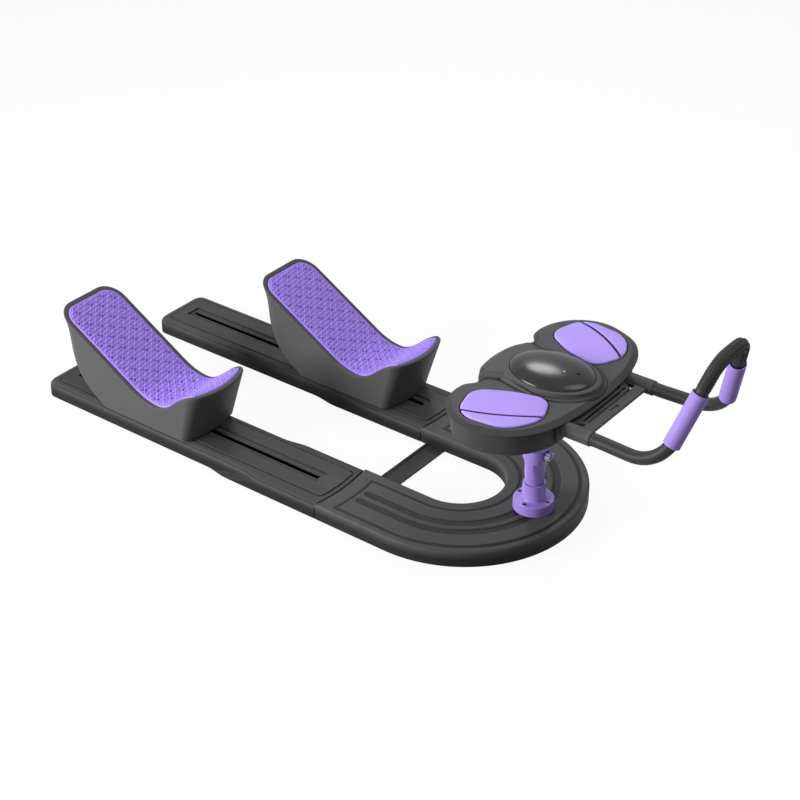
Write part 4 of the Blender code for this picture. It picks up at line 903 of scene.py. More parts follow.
@dataclass
class BaseShell:
    """The U-shaped shell of the base, with its plateau, the groove round it and two bands, and painted shade
    in the groove and the bands.
    """

    straight: float = 0.158
    spacing: float = 0.160
    arm_half: float = 0.074
    hole_setback: float = 0.005
    bow: float = 0.008
    low: float = 0.003
    rim_top: float = 0.0347
    step: float = 0.0013
    fillet: float = 0.005
    wall: float = 0.003
    cavity: float = 0.0245
    outer_margin: float = 0.019
    inner_margin: float = 0.028
    end_margin: float = 0.035
    valley_half: float = 0.0050
    valley_depth: float = 0.0014
    valley_side: float = 1.4
    bands: tuple[float, float] = (-0.0105, 0.0150)
    band_half: float = 0.0092
    band_depth: float = 0.0018
    band_side: float = 2.5
    band_start: float = 0.050
    grid: float = 0.0014
    corner_points: int = 7
    end_runs: tuple[float, ...] = (0.0, 0.0003, 0.0010, 0.0020)
    thin_step: float = 0.0002
    fine_run: float = 0.064
    fine_rows: int = 44
    blend_rows: int = 12
    arc_rows: int = 112
    crease: float = 35.0

    def grooves(self, run: np.ndarray, offset: np.ndarray) -> tuple[np.ndarray, np.ndarray]:
        """Gives the top's height and how deep in a groove it lies.

        Args:
            run: Distances from the arm's end.
            offset: Places across the arm, outwards from its middle.

        Returns:
            Heights over the rim's top, and groove shares from 0 to 1, which paint shade in the groove and the
            bands.
        """
        to_side = np.minimum(self.arm_half - offset - self.outer_margin,
                             self.arm_half + offset - self.inner_margin)
        to_edge = np.minimum(to_side, run - self.end_margin)
        raised = np.clip(to_edge / self.step + 0.5, 0, 1)
        valley = eased(self.valley_side * (1 - np.abs(to_edge + self.valley_half / 2) / self.valley_half))
        band = np.zeros_like(to_edge)
        for place in self.bands:
            distance = np.hypot(np.maximum(self.band_start - run, 0), offset - place)
            band = np.maximum(band, eased(self.band_side * (1 - distance / self.band_half)))
        height = raised * self.step - valley * self.valley_depth - band * self.band_depth
        return height, np.maximum(valley, band)

    def section(self) -> tuple[np.ndarray, np.ndarray, np.ndarray]:
        """Gives the shell's cross-section, from the inner wall's foot over the top and back below.

        Returns:
            Places across the arm, heights, and which points lie on the flat top.
        """
        turn = np.linspace(0, QUARTER_TURN, self.corner_points)
        reach = self.arm_half - self.fillet
        count = int(2 * reach / self.grid)
        corner = reach + self.fillet * np.cos(turn)
        height = self.rim_top - self.fillet + self.fillet * np.sin(turn)
        inside = self.arm_half - self.wall
        offsets = np.concatenate([[-self.arm_half], -corner, np.linspace(-reach, reach, count)[1:-1],
                                  corner[::-1], [self.arm_half, inside, inside, -inside, -inside]])
        roof = self.low + self.cavity
        heights = np.concatenate([[self.low], height, np.full(count - 2, self.rim_top), height[::-1],
                                  [self.low, self.low, roof, roof, self.low]])
        flat = np.zeros(len(offsets), bool)
        start = self.corner_points + 1
        flat[start:start + count - 2] = True
        return offsets, heights, flat

    def build(self) -> None:
        """Sweeps the section along one arm, round the bend and back along the other."""
        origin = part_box("u_base_shell")[0].x
        offsets, heights, flat = self.section()
        bow = self.bow * (1 - (offsets / self.arm_half) ** 2)
        center = self.straight - self.hole_setback * np.clip(-offsets / self.arm_half, 0, 1)
        near = np.concatenate([self.end_runs, [self.wall, self.wall + self.thin_step],
                               np.linspace(self.fillet, self.fine_run, self.fine_rows)])
        runs = [(run, 0.0) for run in near]
        runs += [(self.fine_run, share) for share in np.linspace(0, 1, self.blend_rows)[1:]]
        arm, levels, shares = [], [], []
        for run, share in runs:
            x = bow + run
            x = x + (center - x) * share
            drop = self.fillet - math.sqrt(max(self.fillet ** 2 - max(self.fillet - run, 0) ** 2, 0))
            extra, groove = self.grooves(np.full_like(offsets, run if share == 0 else 1.0), offsets)
            level = np.minimum(heights + np.where(flat, extra, 0), self.rim_top + self.step - drop)
            if run <= self.wall:
                level[-4:-2] = self.low + self.thin_step
            arm.append(x)
            levels.append(level)
            shares.append(np.where(flat, groove, 0))
        radius = self.spacing + offsets
        rings = [np.stack([x, -radius, level], -1) for x, level in zip(arm, levels)]
        for angle in np.linspace(-QUARTER_TURN, QUARTER_TURN, self.arc_rows + 1)[1:-1]:
            rings.append(np.stack([center + radius * math.cos(angle), radius * math.sin(angle),
                                   levels[-1]], -1))
        rings += [np.stack([x, radius, level], -1) for x, level in zip(arm[::-1], levels[::-1])]
        groove = shares + [shares[-1]] * (self.arc_rows - 1) + shares[::-1]
        points = np.concatenate(rings) + (origin, 0, 0)
        faces = closed_faces(len(rings), len(offsets))
        piece = finished("base_shell", points, faces, "grooved_plastic", self.crease)
        # The groove shares paint shade in the groove and the bands.
        store(piece, "groove", np.concatenate(groove))
        place_piece(piece, "base", "black_plastic", "u_base_shell")


@dataclass
class KneeCradle:
    """One knee cradle: its tub and its embossed mat."""

    side: Side
    seat: Seat = Seat()
    carriage_offset: float = 0.209
    floor_rear: float = 0.090
    floor_front: float = 0.318
    floor_width: float = 0.143
    back_bulge: float = 0.036
    wall: float = 0.0035
    rim_width: float = 0.0085
    rim_round: float = 0.0022
    recess: float = 0.004
    mat_gap: float = 0.0003
    mat_proud: float = 0.0020
    mat_crown: float = 0.0012
    mat_edge: float = 0.0030
    mat_grid: float = 0.0010
    curve_share: float = 1.25
    crowding: float = 0.2
    crown_run: float = 0.030
    border: float = 0.0045
    phase: tuple[float, float] = (0.044, 0.030)
    slant: tuple[float, float] = (0.0135, 0.0185)
    climb: tuple[float, float] = (0.0177, -0.0175)
    line_shares: tuple[float, float, float] = (0.8, 0.5, 1.0)
    line_half: float = 0.0016
    line_rise: float = 0.0012
    pit_radius: float = 0.0027
    pit_depth: float = 0.0020
    pit_apart: float = 0.0058
    rim_bevel: float = 0.0005
    rim_steps: int = 5
    bulge_reach: float = 1.35
    tub_rings: int = 14

    def __post_init__(self) -> None:
        """Reads the carriage's place from the frame."""
        label = self.side.label
        low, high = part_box(f"slide_block_{label}")
        self.body = f"cradle_{label}"
        self.origin = np.array([(low.x + high.x) / 2 - self.carriage_offset, (low.y + high.y) / 2,
                                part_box(f"cradle_floor_{label}")[0].z])

    def relief(self, along: np.ndarray, across: np.ndarray, inside: np.ndarray) -> np.ndarray:
        """Gives the mat's relief: raised lines over a slanting lattice, with paired pits at its nodes.

        Args:
            along: Lengths along the seat's curve.
            across: Places across the mat.
            inside: Distances from the mat's edge.

        Returns:
            Heights from -pit_depth to line_rise.
        """
        slant, climb = np.array(self.slant), np.array(self.climb)
        area = slant[0] * climb[1] - slant[1] * climb[0]
        dx, dy = along - self.phase[0], across - self.phase[1]
        column = (dx * climb[1] - dy * climb[0]) / area
        row = (slant[0] * dy - slant[1] * dx) / area
        lines = np.zeros_like(along)
        ways = ((column, climb), (row, slant), (column + row, slant - climb))
        for (place, way), share in zip(ways, self.line_shares):
            pitch = abs(area) / math.hypot(*way)
            distance = np.abs(2 * place - np.round(2 * place)) * pitch / 2 / self.line_half
            wave = share * (1 - distance ** 2) * np.exp(-distance ** 2 / 2)
            lines = np.where(np.abs(wave) > np.abs(lines), wave, lines)
        column, row = column - np.round(column), row - np.round(row)
        from_node = [column * slant[axis] + row * climb[axis] for axis in range(2)]
        shift = np.array((-climb[1], climb[0])) / math.hypot(*climb) * self.pit_apart / 2
        to_pits = [np.hypot(from_node[0] + sign * shift[0], from_node[1] + sign * shift[1])
                   for sign in (-1, 1)]
        pits = np.clip(1 - np.minimum(*to_pits) / self.pit_radius, 0, 1)
        fade = np.clip((inside - self.border) / self.line_half, 0, 1)
        return fade * np.where(pits > 0, -self.pit_depth * np.sqrt(pits), self.line_rise * lines)

    def mat(self) -> bpy.types.Object:
        """Builds the crowned mat with its embossed top.

        Returns:
            The mat.
        """
        seat = self.seat
        edge = self.rim_width + self.mat_gap
        rows = int(seat.length * self.curve_share / self.mat_grid)
        columns = int((seat.width - 2 * edge) / self.mat_grid)
        fine = np.linspace(edge, seat.length - edge, 4 * rows)
        run = travelled(np.stack([fine, seat.height(fine)], -1))
        ends = 1 - np.cos(np.linspace(0, math.pi, rows))
        even = np.linspace(0, run[-1], rows)
        near_ends = run[-1] * ends / 2
        share = np.exp(-np.minimum(even, run[-1] - even) / seat.front_corner)
        x = np.interp(even * (1 - share) + near_ends * share, run, fine)
        along = np.interp(x, fine, run)[:, None] + np.zeros(columns)
        spread = np.linspace(-1, 1, columns)
        spread = np.sin(spread * QUARTER_TURN) * self.crowding + spread * (1 - self.crowding)
        y = seat.half_width(x, edge)[:, None] * spread
        x = x[:, None] + np.zeros(columns)
        inside = self.inside(x, y, edge)
        arch = np.sqrt(np.clip(1 - (1 - np.clip(inside / self.mat_edge, 0, 1)) ** 2, 0, 1))
        swell = 1 - np.clip(1 - inside / self.crown_run, 0, 1) ** 2
        relief = self.relief(along, y, inside)
        depth = -self.recess / 2 + (self.mat_proud + self.recess / 2) * arch + self.mat_crown * swell + relief
        top = seat.point(x, y, depth).reshape(-1, 3)
        border = self.border_places(rows, columns)
        foot = seat.point(x.reshape(-1)[border], y.reshape(-1)[border], 2 * self.mat_gap - self.recess)
        points = np.concatenate([top, foot]) + self.origin
        faces = self.mat_faces(rows, columns, border)
        piece = finished(f"knee_mat_{self.side.label}", points, faces, "mat_foam", NO_CREASE)
        # These levels drive the mat's painted highlight on the lines and painted shade in the pits.
        level = np.where(relief < 0, PIT_LEVEL * (1 + relief / self.pit_depth),
                         FLAT_LEVEL + (1 - FLAT_LEVEL) * relief / self.line_rise)
        store(piece, "relief", np.concatenate([level.reshape(-1), np.full(len(border), FLAT_LEVEL)]))
        place_piece(piece, self.body, "purple_foam", f"cradle_mat_{self.side.label}")
        return piece

    def inside(self, x: np.ndarray, y: np.ndarray, edge: float) -> np.ndarray:
        """Gives how far places lie inside the mat's edge.

        Args:
            x: Places along the cradle.
            y: Places across it.
            edge: The margin that draws the mat in.

        Returns:
            The distances.
        """
        seat = self.seat
        half = seat.width / 2 - edge
        result = np.minimum(half - np.abs(y), np.minimum(x - edge, seat.length - edge - x))
        for past, radius in ((seat.rear_corner - x, seat.rear_corner - edge),
                             (x - seat.length + seat.front_corner, seat.front_corner - edge)):
            beside = np.abs(y) - (half - radius)
            in_corner = (past > 0) & (beside > 0)
            result = np.where(in_corner, radius - np.hypot(past, beside), result)
        return np.maximum(result, 0)

    @staticmethod
    def border_places(rows: int, columns: int) -> list[int]:
        """Gives the places of the grid's edge points, in order round it.

        Args:
            rows: The grid's rows.
            columns: The grid's columns.

        Returns:
            The places.
        """
        last = (rows - 1) * columns
        return (list(range(0, last, columns)) + list(range(last, last + columns - 1))
                + list(range(last + columns - 1, columns - 1, -columns)) + list(range(columns - 1, 0, -1)))

    @staticmethod
    def mat_faces(rows: int, columns: int, border: list[int]) -> list[Sequence[int]]:
        """Joins the mat's top grid, its side band and its underside.

        Args:
            rows: The grid's rows.
            columns: The grid's columns.
            border: The places of the grid's edge points, in order.

        Returns:
            The faces.
        """
        faces: list[Sequence[int]] = []
        for i in range(rows - 1):
            for k in range(columns - 1):
                a = i * columns + k
                faces.append((a, a + columns, a + columns + 1, a + 1))
        first = rows * columns
        count = len(border)
        for k in range(count):
            j = (k + 1) % count
            faces.append((border[j], border[k], first + k, first + j))
        under = {place: first + k for k, place in enumerate(border)}
        for i in range(1, rows - 2):
            a, b = i * columns, (i + 1) * columns
            faces.append((under[a], under[a + columns - 1], under[b + columns - 1], under[b]))
        faces.append([under[k] for k in range(columns)] + [under[2 * columns - 1], under[columns]])
        last = (rows - 1) * columns
        faces.append([under[last - columns], under[last - 1]]
                     + [under[last + k] for k in reversed(range(columns))])
        return faces

    def tub(self) -> bpy.types.Object:
        """Builds the tub with its rounded rim, its pocket and its hollow underside.

        Returns:
            The tub.
        """
        seat = self.seat
        rings = self.wall_rings(self.wall, self.recess + self.wall)[::-1]
        rings += self.wall_rings(0.0, self.rim_round)
        for turn in np.linspace(0, QUARTER_TURN, self.rim_steps)[1:]:
            plan = seat.loop(self.rim_round * (1 - math.cos(turn)))
            rings.append(seat.point(plan[:, 0], plan[:, 1], -self.rim_round * (1 - math.sin(turn))))
        for edge, depth in ((self.rim_width - self.rim_bevel, 0.0), (self.rim_width, -self.rim_bevel),
                            (self.rim_width, -self.recess)):
            plan = seat.loop(edge)
            rings.append(seat.point(plan[:, 0], plan[:, 1], depth))
        count = len(rings[0])
        faces = ring_faces(len(rings), count) + self.lid(count, 0, False)
        faces += self.lid(count, (len(rings) - 1) * count, True)
        points = np.concatenate(rings) + self.origin
        piece = finished(f"cradle_tub_{self.side.label}", points, faces, "black_plastic")
        return place_piece(piece, self.body, "black_plastic", f"cradle_shell_{self.side.label}")

    def wall_rings(self, edge: float, drop: float) -> list[np.ndarray]:
        """Gives the rings of a tub's wall, from its floor to under its rim.

        Args:
            edge: How far the wall is drawn in.
            drop: How far below the seat the last ring lies.

        Returns:
            The rings.
        """
        seat = self.seat
        plan = seat.loop(edge)
        rim = seat.point(plan[:, 0], plan[:, 1], -drop)
        run = (self.floor_front - self.floor_rear - 2 * edge) / (seat.length - 2 * edge)
        narrow = (self.floor_width / 2 - edge) / (seat.width / 2 - edge)
        foot_x = self.floor_rear + edge + (seat.bowed(plan[:, 0], plan[:, 1]) - edge) * run
        foot = np.stack([foot_x, plan[:, 1] * narrow, np.zeros(len(plan))], -1)
        share = np.clip(self.bulge_reach - foot_x / seat.valley_x, 0, 1) ** 2
        rings = []
        for t in np.linspace(0, 1, self.tub_rings):
            swell = self.back_bulge * t * (1 - t) ** 2 * BULGE_PEAK
            rings.append(foot * (1 - t) + rim * t - np.outer(swell * share, (1, 0, 0)))
        return rings

    @staticmethod
    def lid(count: int, first: int, upward: bool, across: int = 6) -> list[Sequence[int]]:
        """Closes a mirrored ring with strips from side to side.

        Args:
            count: The ring's points.
            first: The place of its first point.
            upward: Whether the lid faces up.
            across: The points of half of each end.

        Returns:
            The faces.
        """
        middle = count // 2
        faces = [[first + k % count for k in range(-across - 1, across + 2)][::-1]]
        for k in range(across + 1, middle - across - 1):
            faces.append([first + k, first + count - k, first + count - k - 1, first + k + 1][::-1])
        faces.append([first + k for k in range(middle - across - 1, middle + across + 2)][::-1])
        return [face[::-1] for face in faces] if upward else faces

    def build(self) -> None:
        """Builds the cradle's visible pieces."""
        self.tub()
        self.mat()


@dataclass(frozen=True)
class PadPlan:
    """The plan of an elbow pad about the column's axis: rounded corners, and a curved seam."""

    corners: tuple[tuple[float, float], ...] = ((-0.036, 0.2005), (-0.0585, 0.120), (0.004, 0.083),
                                                (0.066, 0.068), (0.094, 0.130), (0.060, 0.189))
    radii: tuple[float, ...] = (0.042, 0.034, 0.200, 0.028, 0.055, 0.060)
    steps: int = 24
    seam_start: tuple[float, float] = (-0.0750, 0.186)
    seam_middle: tuple[float, float] = (0.0130, 0.169)
    seam_end: tuple[float, float] = (0.1120, 0.101)
    seam_points: int = 120

    def outline(self, side: Side, center_x: float) -> np.ndarray:
        """Gives the pad's outline in the frame.

        Args:
            side: The pad's side.
            center_x: The column's place along X.

        Returns:
            The outline's points, counter-clockwise.
        """
        points: list[tuple[float, ...]] = []
        spots = [Vector(corner) for corner in self.corners]
        around = zip(spots[-1:] + spots, spots, spots[1:] + spots[:1], self.radii)
        for before, corner, after, radius in around:
            points += rounded_corner(before, corner, after, radius, self.steps)
        outline = np.array(points) * (1, side.value) + (center_x, 0)
        return outline[::side.value]

    def seam(self, side: Side, center_x: float) -> np.ndarray:
        """Gives points along the pad's seam in the frame.

        Args:
            side: The pad's side.
            center_x: The column's place along X.

        Returns:
            The points in plan.
        """
        start, middle, end = (np.array(spot) for spot in (self.seam_start, self.seam_middle, self.seam_end))
        control = 2 * middle - (start + end) / 2
        t = np.linspace(0, 1, self.seam_points)[:, None]
        line = start * (1 - t) ** 2 + control * 2 * t * (1 - t) + end * t ** 2
        return line * (1, side.value) + (center_x, 0)


@dataclass
class PanelCover:
    """The winged cover: a sloping edge, a raised middle with a groove at its foot, and pad recesses, with
    painted shade in its groove, its gutter, down its sloping edge and round the pads.
    """

    plan: PadPlan = PadPlan()
    rays: int = 420
    rings: int = 156
    thickness: float = 0.0068
    edge_width: float = 0.012
    edge_drop: float = 0.0058
    middle_height: float = 0.0075
    waist_shift: float = 0.008
    waist_start: float = -0.035
    waist_half: float = 0.088
    waist_blend: float = 0.014
    center: float = 0.0205
    front: tuple[float, float, float] = (0.0295, 0.0945, 0.0755)
    waist: tuple[tuple[float, float], ...] = ((-0.002, 0.0695), (-0.038, 0.0615), (-0.058, 0.068),
                                              (-0.067, 0.083), (-0.120, 0.100))
    rear_rise: float = 0.050
    lip_height: float = 0.0032
    lip_run: float = 0.0024
    gutter_place: float = 0.0064
    gutter_half: float = 0.0042
    gutter_depth: float = 0.0028
    gutter_tone: float = 0.75
    crest_run: float = 0.0056
    front_start: float = -0.02
    front_run: float = 0.05
    groove_half: float = 0.0022
    waist_spread: float = 1.5
    groove_depth: float = 0.0018
    edge_tone: float = 0.55
    edge_crease: float = 0.12
    recess: float = 0.0023
    recess_margin: float = 0.0008
    recess_run: float = 0.0012
    pad_shadow: float = 0.0030
    shadow_run: float = 0.0010
    curve_steps: int = 12
    ellipse_points: int = 90
    foot_points: int = 1200
    pad_points: int = 600
    first_share: float = 0.01
    crease: float = 50.0

    def outline(self) -> np.ndarray:
        """Smooths the outline of the cover's underside in the frame.

        Returns:
            The outline's points, evenly spaced.
        """
        spots = vertex_places(frame["nodes"]["panel_cover"].data)
        low = spots[spots[:, 2] < spots[:, 2].min() + WELD]
        plan = np.unique(np.round(low[:, :2], decimals=6), axis=0)
        angle = np.arctan2(plan[:, 1], plan[:, 0] - column_x() - self.center)
        line = plan[np.argsort(angle)]
        a, b, c, d = (np.roll(line, shift, 0)[:, None] for shift in (1, 0, -1, -2))
        t = np.linspace(0, 1, self.curve_steps, endpoint=False)[None, :, None]
        # A smooth line through the points: each piece runs from b to c and heeds a before and d after.
        curve = 2 * b + (c - a) * t + (2 * a - 5 * b + 4 * c - d) * t ** 2 + (3 * b - a - 3 * c + d) * t ** 3
        loop = resampled(curve.reshape(-1, 2) / 2, self.rays)
        rear = np.clip((self.waist_start - loop[:, 0] + column_x()) / self.waist_blend, 0, 1)
        middle = np.clip((self.waist_half - np.abs(loop[:, 1])) / self.waist_blend, 0, 1)
        loop[:, 0] -= self.waist_shift * rear * middle
        return loop

    def foot(self) -> np.ndarray:
        """Gives the line round the raised middle's foot: an ellipse in front, a waist beside the pads.

        Returns:
            The line's points in the frame.
        """
        x, length, width = self.front
        turn = np.linspace(-QUARTER_TURN, QUARTER_TURN, self.ellipse_points)
        ellipse = np.stack([x + length * np.cos(turn), width * np.sin(turn)], -1)
        waist = np.array(self.waist)
        return np.concatenate([ellipse, waist, waist[::-1] * (1, -1)]) + (column_x(), 0)

    def surface(self, plan: np.ndarray, outline: np.ndarray) -> tuple[np.ndarray, np.ndarray]:
        """Gives the cover's height and its share of painted shade at places in plan.

        Args:
            plan: Places in the frame's plan.
            outline: The cover's outline.

        Returns:
            Heights over the cover's top plane, and shares of painted shade from 0 to 1.
        """
        x = plan[:, 0] - column_x()
        to_edge = nearest(plan, resampled(outline, 4 * self.rays))
        slope = np.clip(1 - to_edge / self.edge_width, 0, 1)
        foot = resampled(self.foot(), self.foot_points)
        distance = nearest(plan, foot)
        raised = within(plan, foot)
        front = np.clip((x - self.front_start) / self.front_run, 0, 1)
        lift = np.where(x < 0, np.clip(to_edge / self.rear_rise, 0, 1), 1)
        lip = self.lip_height * eased(distance / self.lip_run)
        gutter = eased(1 - np.abs(distance - self.gutter_place) / self.gutter_half) * front
        crest = eased((distance - self.gutter_place) / self.crest_run)
        crest = (self.middle_height - self.lip_height) * crest
        rise = (lip + crest - self.gutter_depth * gutter) * lift * (2 - lift)
        reach = self.groove_half * (1 + self.waist_spread * (1 - front))
        groove = np.where(raised, 0, eased(1 - distance / reach / 2)) * np.clip(2 - 2 * slope, 0, 1)
        height = np.where(raised, rise, 0) - self.edge_drop * slope - self.groove_depth * groove
        # Painted shade in the groove, down in the gutter and on the sloping edge.
        tone = np.maximum(groove, np.where(raised, self.gutter_tone * gutter, 0))
        tone = np.maximum(tone, self.edge_tone * np.clip(slope / self.edge_crease, 0, 1))
        for side in Side:
            pad = self.plan.outline(side, column_x())
            distance = nearest(plan, resampled(pad, self.pad_points))
            signed = np.where(within(plan, pad), distance, -distance)
            height -= self.recess * np.clip(0.5 + (signed + self.recess_margin) / self.recess_run, 0, 1)
            # Painted shadow round each pad.
            tone = np.maximum(tone, np.clip(0.5 + (signed + self.pad_shadow) / self.shadow_run, 0, 1))
        return height, tone

    def build(self) -> None:
        """Builds the cover."""
        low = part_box("panel_cover")[0]
        top = low.z + self.thickness
        outline = self.outline()
        center = np.array((column_x() + self.center, 0.0))
        shares = np.linspace(self.first_share, 1, self.rings)
        plan = np.concatenate([center + (outline - center) * share for share in shares])
        height, groove = self.surface(plan, outline)
        upper = np.column_stack([plan, top + height])
        lower = np.column_stack([outline, np.full(self.rays, low.z)])
        points = np.concatenate([upper, lower])
        faces = [face[::-1] for face in closed_faces(self.rings + 1, self.rays)]
        piece = finished("winged_cover", points, faces, "grooved_plastic", self.crease)
        # The stored shares paint shade on the cover.
        store(piece, "groove", np.concatenate([groove, np.zeros(self.rays)]))
        place_piece(piece, "panel", "black_plastic", "panel_cover")


@dataclass
class ElbowPads:
    """The two elbow pads of the panel, each with its sunk seam."""

    plan: PadPlan = PadPlan()
    voxel: float = 0.0010
    passes: int = 2
    layers: tuple[tuple[float, float], ...] = ((0.0006, 0.0), (0.0003, 0.0008), (0.0003, 0.0034),
                                               (0.0006, 0.0042), (0.0014, 0.0048), (0.0026, 0.0051),
                                               (0.010, 0.0058), (0.025, 0.0064), (0.045, 0.0067))
    rim_points: int = 200
    seam_half: float = 0.0025
    seam_side: float = 1.5
    seam_depth: float = 0.0026

    def pad(self, side: Side) -> bpy.types.Object:
        """Builds one pad as a soft crowned body and presses the seam into it.

        Args:
            side: The pad's side.

        Returns:
            The pad.
        """
        node = f"elbow_pad_{side.label}"
        count = self.rim_points
        outline = resampled(self.plan.outline(side, column_x()), count)
        middle = outline.mean(axis=0)
        reach = np.linalg.norm(outline - middle, axis=1).mean()
        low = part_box(node)[0].z
        rings = []
        for inset, rise in self.layers:
            ring = middle + (outline - middle) * (1 - inset / reach)
            rings.append(np.column_stack([ring, np.full(count, low + rise)]))
        source = finished("pad_source", np.concatenate(rings), closed_faces(len(rings), count), "lilac_pad")
        remesh = source.modifiers.new("remesh", "REMESH")
        remesh.mode = "VOXEL"
        remesh.voxel_size = self.voxel
        remesh.use_smooth_shade = True
        smooth = source.modifiers.new("smooth", "SMOOTH")
        smooth.iterations = self.passes
        piece = applied(source, f"elbow_cushion_{side.label}")
        mesh = piece.data
        points = vertex_places(mesh)
        distance = nearest(points[:, :2], self.plan.seam(side, column_x()))
        top = points[:, 2] > low + self.layers[2][1]
        pressed = np.clip(self.seam_side - distance / self.seam_half, 0, 1)
        points[:, 2] -= np.where(top, self.seam_depth * pressed, 0)
        mesh.vertices.foreach_set("co", points.reshape(-1))
        mesh.update()
        store(piece, "seam", np.where(top, pressed, 0))
        mesh.materials.clear()
        mesh.materials.append(MATERIALS["lilac_pad"])
        place_piece(piece, "panel", "lilac_pad", node)
        return piece

    def build(self) -> None:
        """Builds both pads."""
        for side in Side:
            self.pad(side)


@dataclass
class CounterDome:
    """The glossy oval dome with its lens, and a black stud that paints shade as its sensor hole."""

    side_steps: int = 96
    rings: int = 24
    inner_rings: int = 8
    wall: float = 0.0022
    lens_spot: tuple[float, float] = (0.0292, -0.0088)
    lens_radius: float = 0.0014
    hole_spot: tuple[float, float] = (0.0502, 0.0015)
    hole_radius: float = 0.0027
    sink: float = 0.0062
    half_width: float = 0.0605
    ring_reach: tuple[float, float, float] = (0.0045, 0.0110, 0.0055)
    ring_rise: float = 0.0016
    ring_foot: float = 0.0030
    ring_tuck: float = 0.0004
    ring_steps: int = 11
    ring_flatness: int = 4
    stud_profile: tuple[tuple[float, float], ...] = ((1.0, -0.5), (1.0, 0.05), (0.8, 0.18), (0.4, 0.26))
    stud_sides: int = 24

    def __post_init__(self) -> None:
        """Reads the dome's place and size from the frame."""
        low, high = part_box("counter_dome")
        self.center = np.array([(low.x + high.x) / 2, (low.y + high.y) / 2, low.z - self.sink])
        self.radii = np.array([(high.x - low.x) / 2, self.half_width, high.z - low.z])

    def surface(self, x: float, y: float) -> Vector:
        """Gives a point on the dome at a place counted from its centre."""
        share = (x / self.radii[0]) ** 2 + (y / self.radii[1]) ** 2
        return Vector(self.center) + Vector((x, y, self.radii[2] * math.sqrt(max(1 - share, 0))))

    def shell(self) -> bpy.types.Object:
        """Builds the dome as a closed shell.

        Returns:
            The dome.
        """
        angles = np.linspace(0, 2 * math.pi, self.side_steps, endpoint=False)
        outer, inner = ([(math.cos(a), math.sin(a), wall) for a in np.linspace(0, QUARTER_TURN, rings)[:-1]]
                        for rings, wall in ((self.rings, 0.0), (self.inner_rings, self.wall)))
        rings = []
        for reach, rise, wall in inner[::-1] + outer:
            radii = self.radii - wall
            ring = np.stack([radii[0] * reach * np.cos(angles), radii[1] * reach * np.sin(angles),
                             np.full(self.side_steps, radii[2] * rise)], -1)
            rings.append(ring)
        points = np.concatenate(rings + [[(0, 0, self.radii[2] - self.wall)], [(0, 0, self.radii[2])]])
        count = self.side_steps
        faces = ring_faces(len(rings), count)
        last = (len(rings) - 1) * count
        for k in range(count):
            j = (k + 1) % count
            faces.append((j, k, len(points) - 2))
            faces.append((last + k, last + j, len(points) - 1))
        piece = finished("dome_shell", points + self.center, faces, "gloss_black", ROUND_CREASE)
        return place_piece(piece, "panel", "gloss_black", "counter_dome")

    def ring(self) -> bpy.types.Object:
        """Builds the ring round the dome, wide in front and narrow behind.

        Returns:
            The ring.
        """
        angles = np.linspace(0, 2 * math.pi, 2 * self.side_steps, endpoint=False)
        turn = np.stack([np.cos(angles), np.sin(angles)], -1)
        rear, front, beside = self.ring_reach
        inner = turn * (self.radii[:2] - self.ring_tuck)
        outer = turn * (self.radii[:2] + ((rear + front) / 2, beside)) + ((front - rear) / 2, 0)
        rings = [np.column_stack([outer, np.full(len(outer), -self.ring_foot)])]
        for share in np.linspace(1, 0, self.ring_steps):
            rise = self.ring_rise * (1 - (2 * share - 1) ** self.ring_flatness)
            rings.append(np.column_stack([inner + (outer - inner) * share, np.full(len(outer), rise)]))
        rings.append(np.column_stack([inner, np.full(len(outer), -self.ring_foot)]))
        total = len(rings) * len(angles)
        faces = [tuple(index % total for index in face) for face in ring_faces(len(rings) + 1, len(angles))]
        piece = finished("dome_ring", np.concatenate(rings) + self.center, faces, "black_plastic")
        return place_piece(piece, "panel", "black_plastic", "dome_bezel")

    def stud(self, name: str, spot: tuple[float, float], radius: float, material: str) -> bpy.types.Object:
        """Sets a small stud into the dome.

        Args:
            name: The piece's name.
            spot: Its place, counted from the dome's centre.
            radius: Its radius.
            material: The finish's name.

        Returns:
            The stud.
        """
        angles = np.linspace(0, 2 * math.pi, self.stud_sides, endpoint=False)
        turn = np.stack([np.cos(angles), np.sin(angles), 0 * angles], -1)
        rings = [turn * reach + (0, 0, rise) for reach, rise in self.stud_profile]
        points = np.concatenate(rings) * radius + tuple(self.surface(*spot))
        piece = finished(name, points, closed_faces(len(rings), self.stud_sides), material)
        return place_piece(piece, "panel", "gloss_black")

    def build(self) -> None:
        """Builds the dome, its lens and a black stud that paints shade as its sensor hole."""
        self.shell()
        self.ring()
        self.stud("counter_lens", self.lens_spot, self.lens_radius, "sensor_white")
        # The sensor hole is a black stud; its darkness is painted shade.
        self.stud("counter_sensor", self.hole_spot, self.hole_radius, "dark_track")


@dataclass
class FrontChannel:
    """The ribbed channel between the handlebar's sleeves, below the cover's front edge."""

    section: tuple[tuple[float, float], ...] = ((0.002, 0.0015), (0.002, 0.0085), (0.008, 0.0085),
                                                (0.008, 0.0045), (0.016, 0.0045), (0.016, 0.0100),
                                                (0.021, 0.0100), (0.021, 0.0045), (0.028, 0.0045),
                                                (0.028, 0.0015))
    near: float = -0.090
    far: float = 0.080

    def build(self) -> None:
        """Draws the channel's section along its length."""
        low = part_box("handle_bracket")[0]
        ring = np.array([(low.x + x, 0, low.z + z) for x, z in self.section])
        points = np.concatenate([ring + (0, self.near, 0), ring + (0, self.far, 0)])
        piece = finished("front_channel", points, closed_faces(2, len(ring)), "black_plastic")
        place_piece(piece, "panel", "black_plastic")


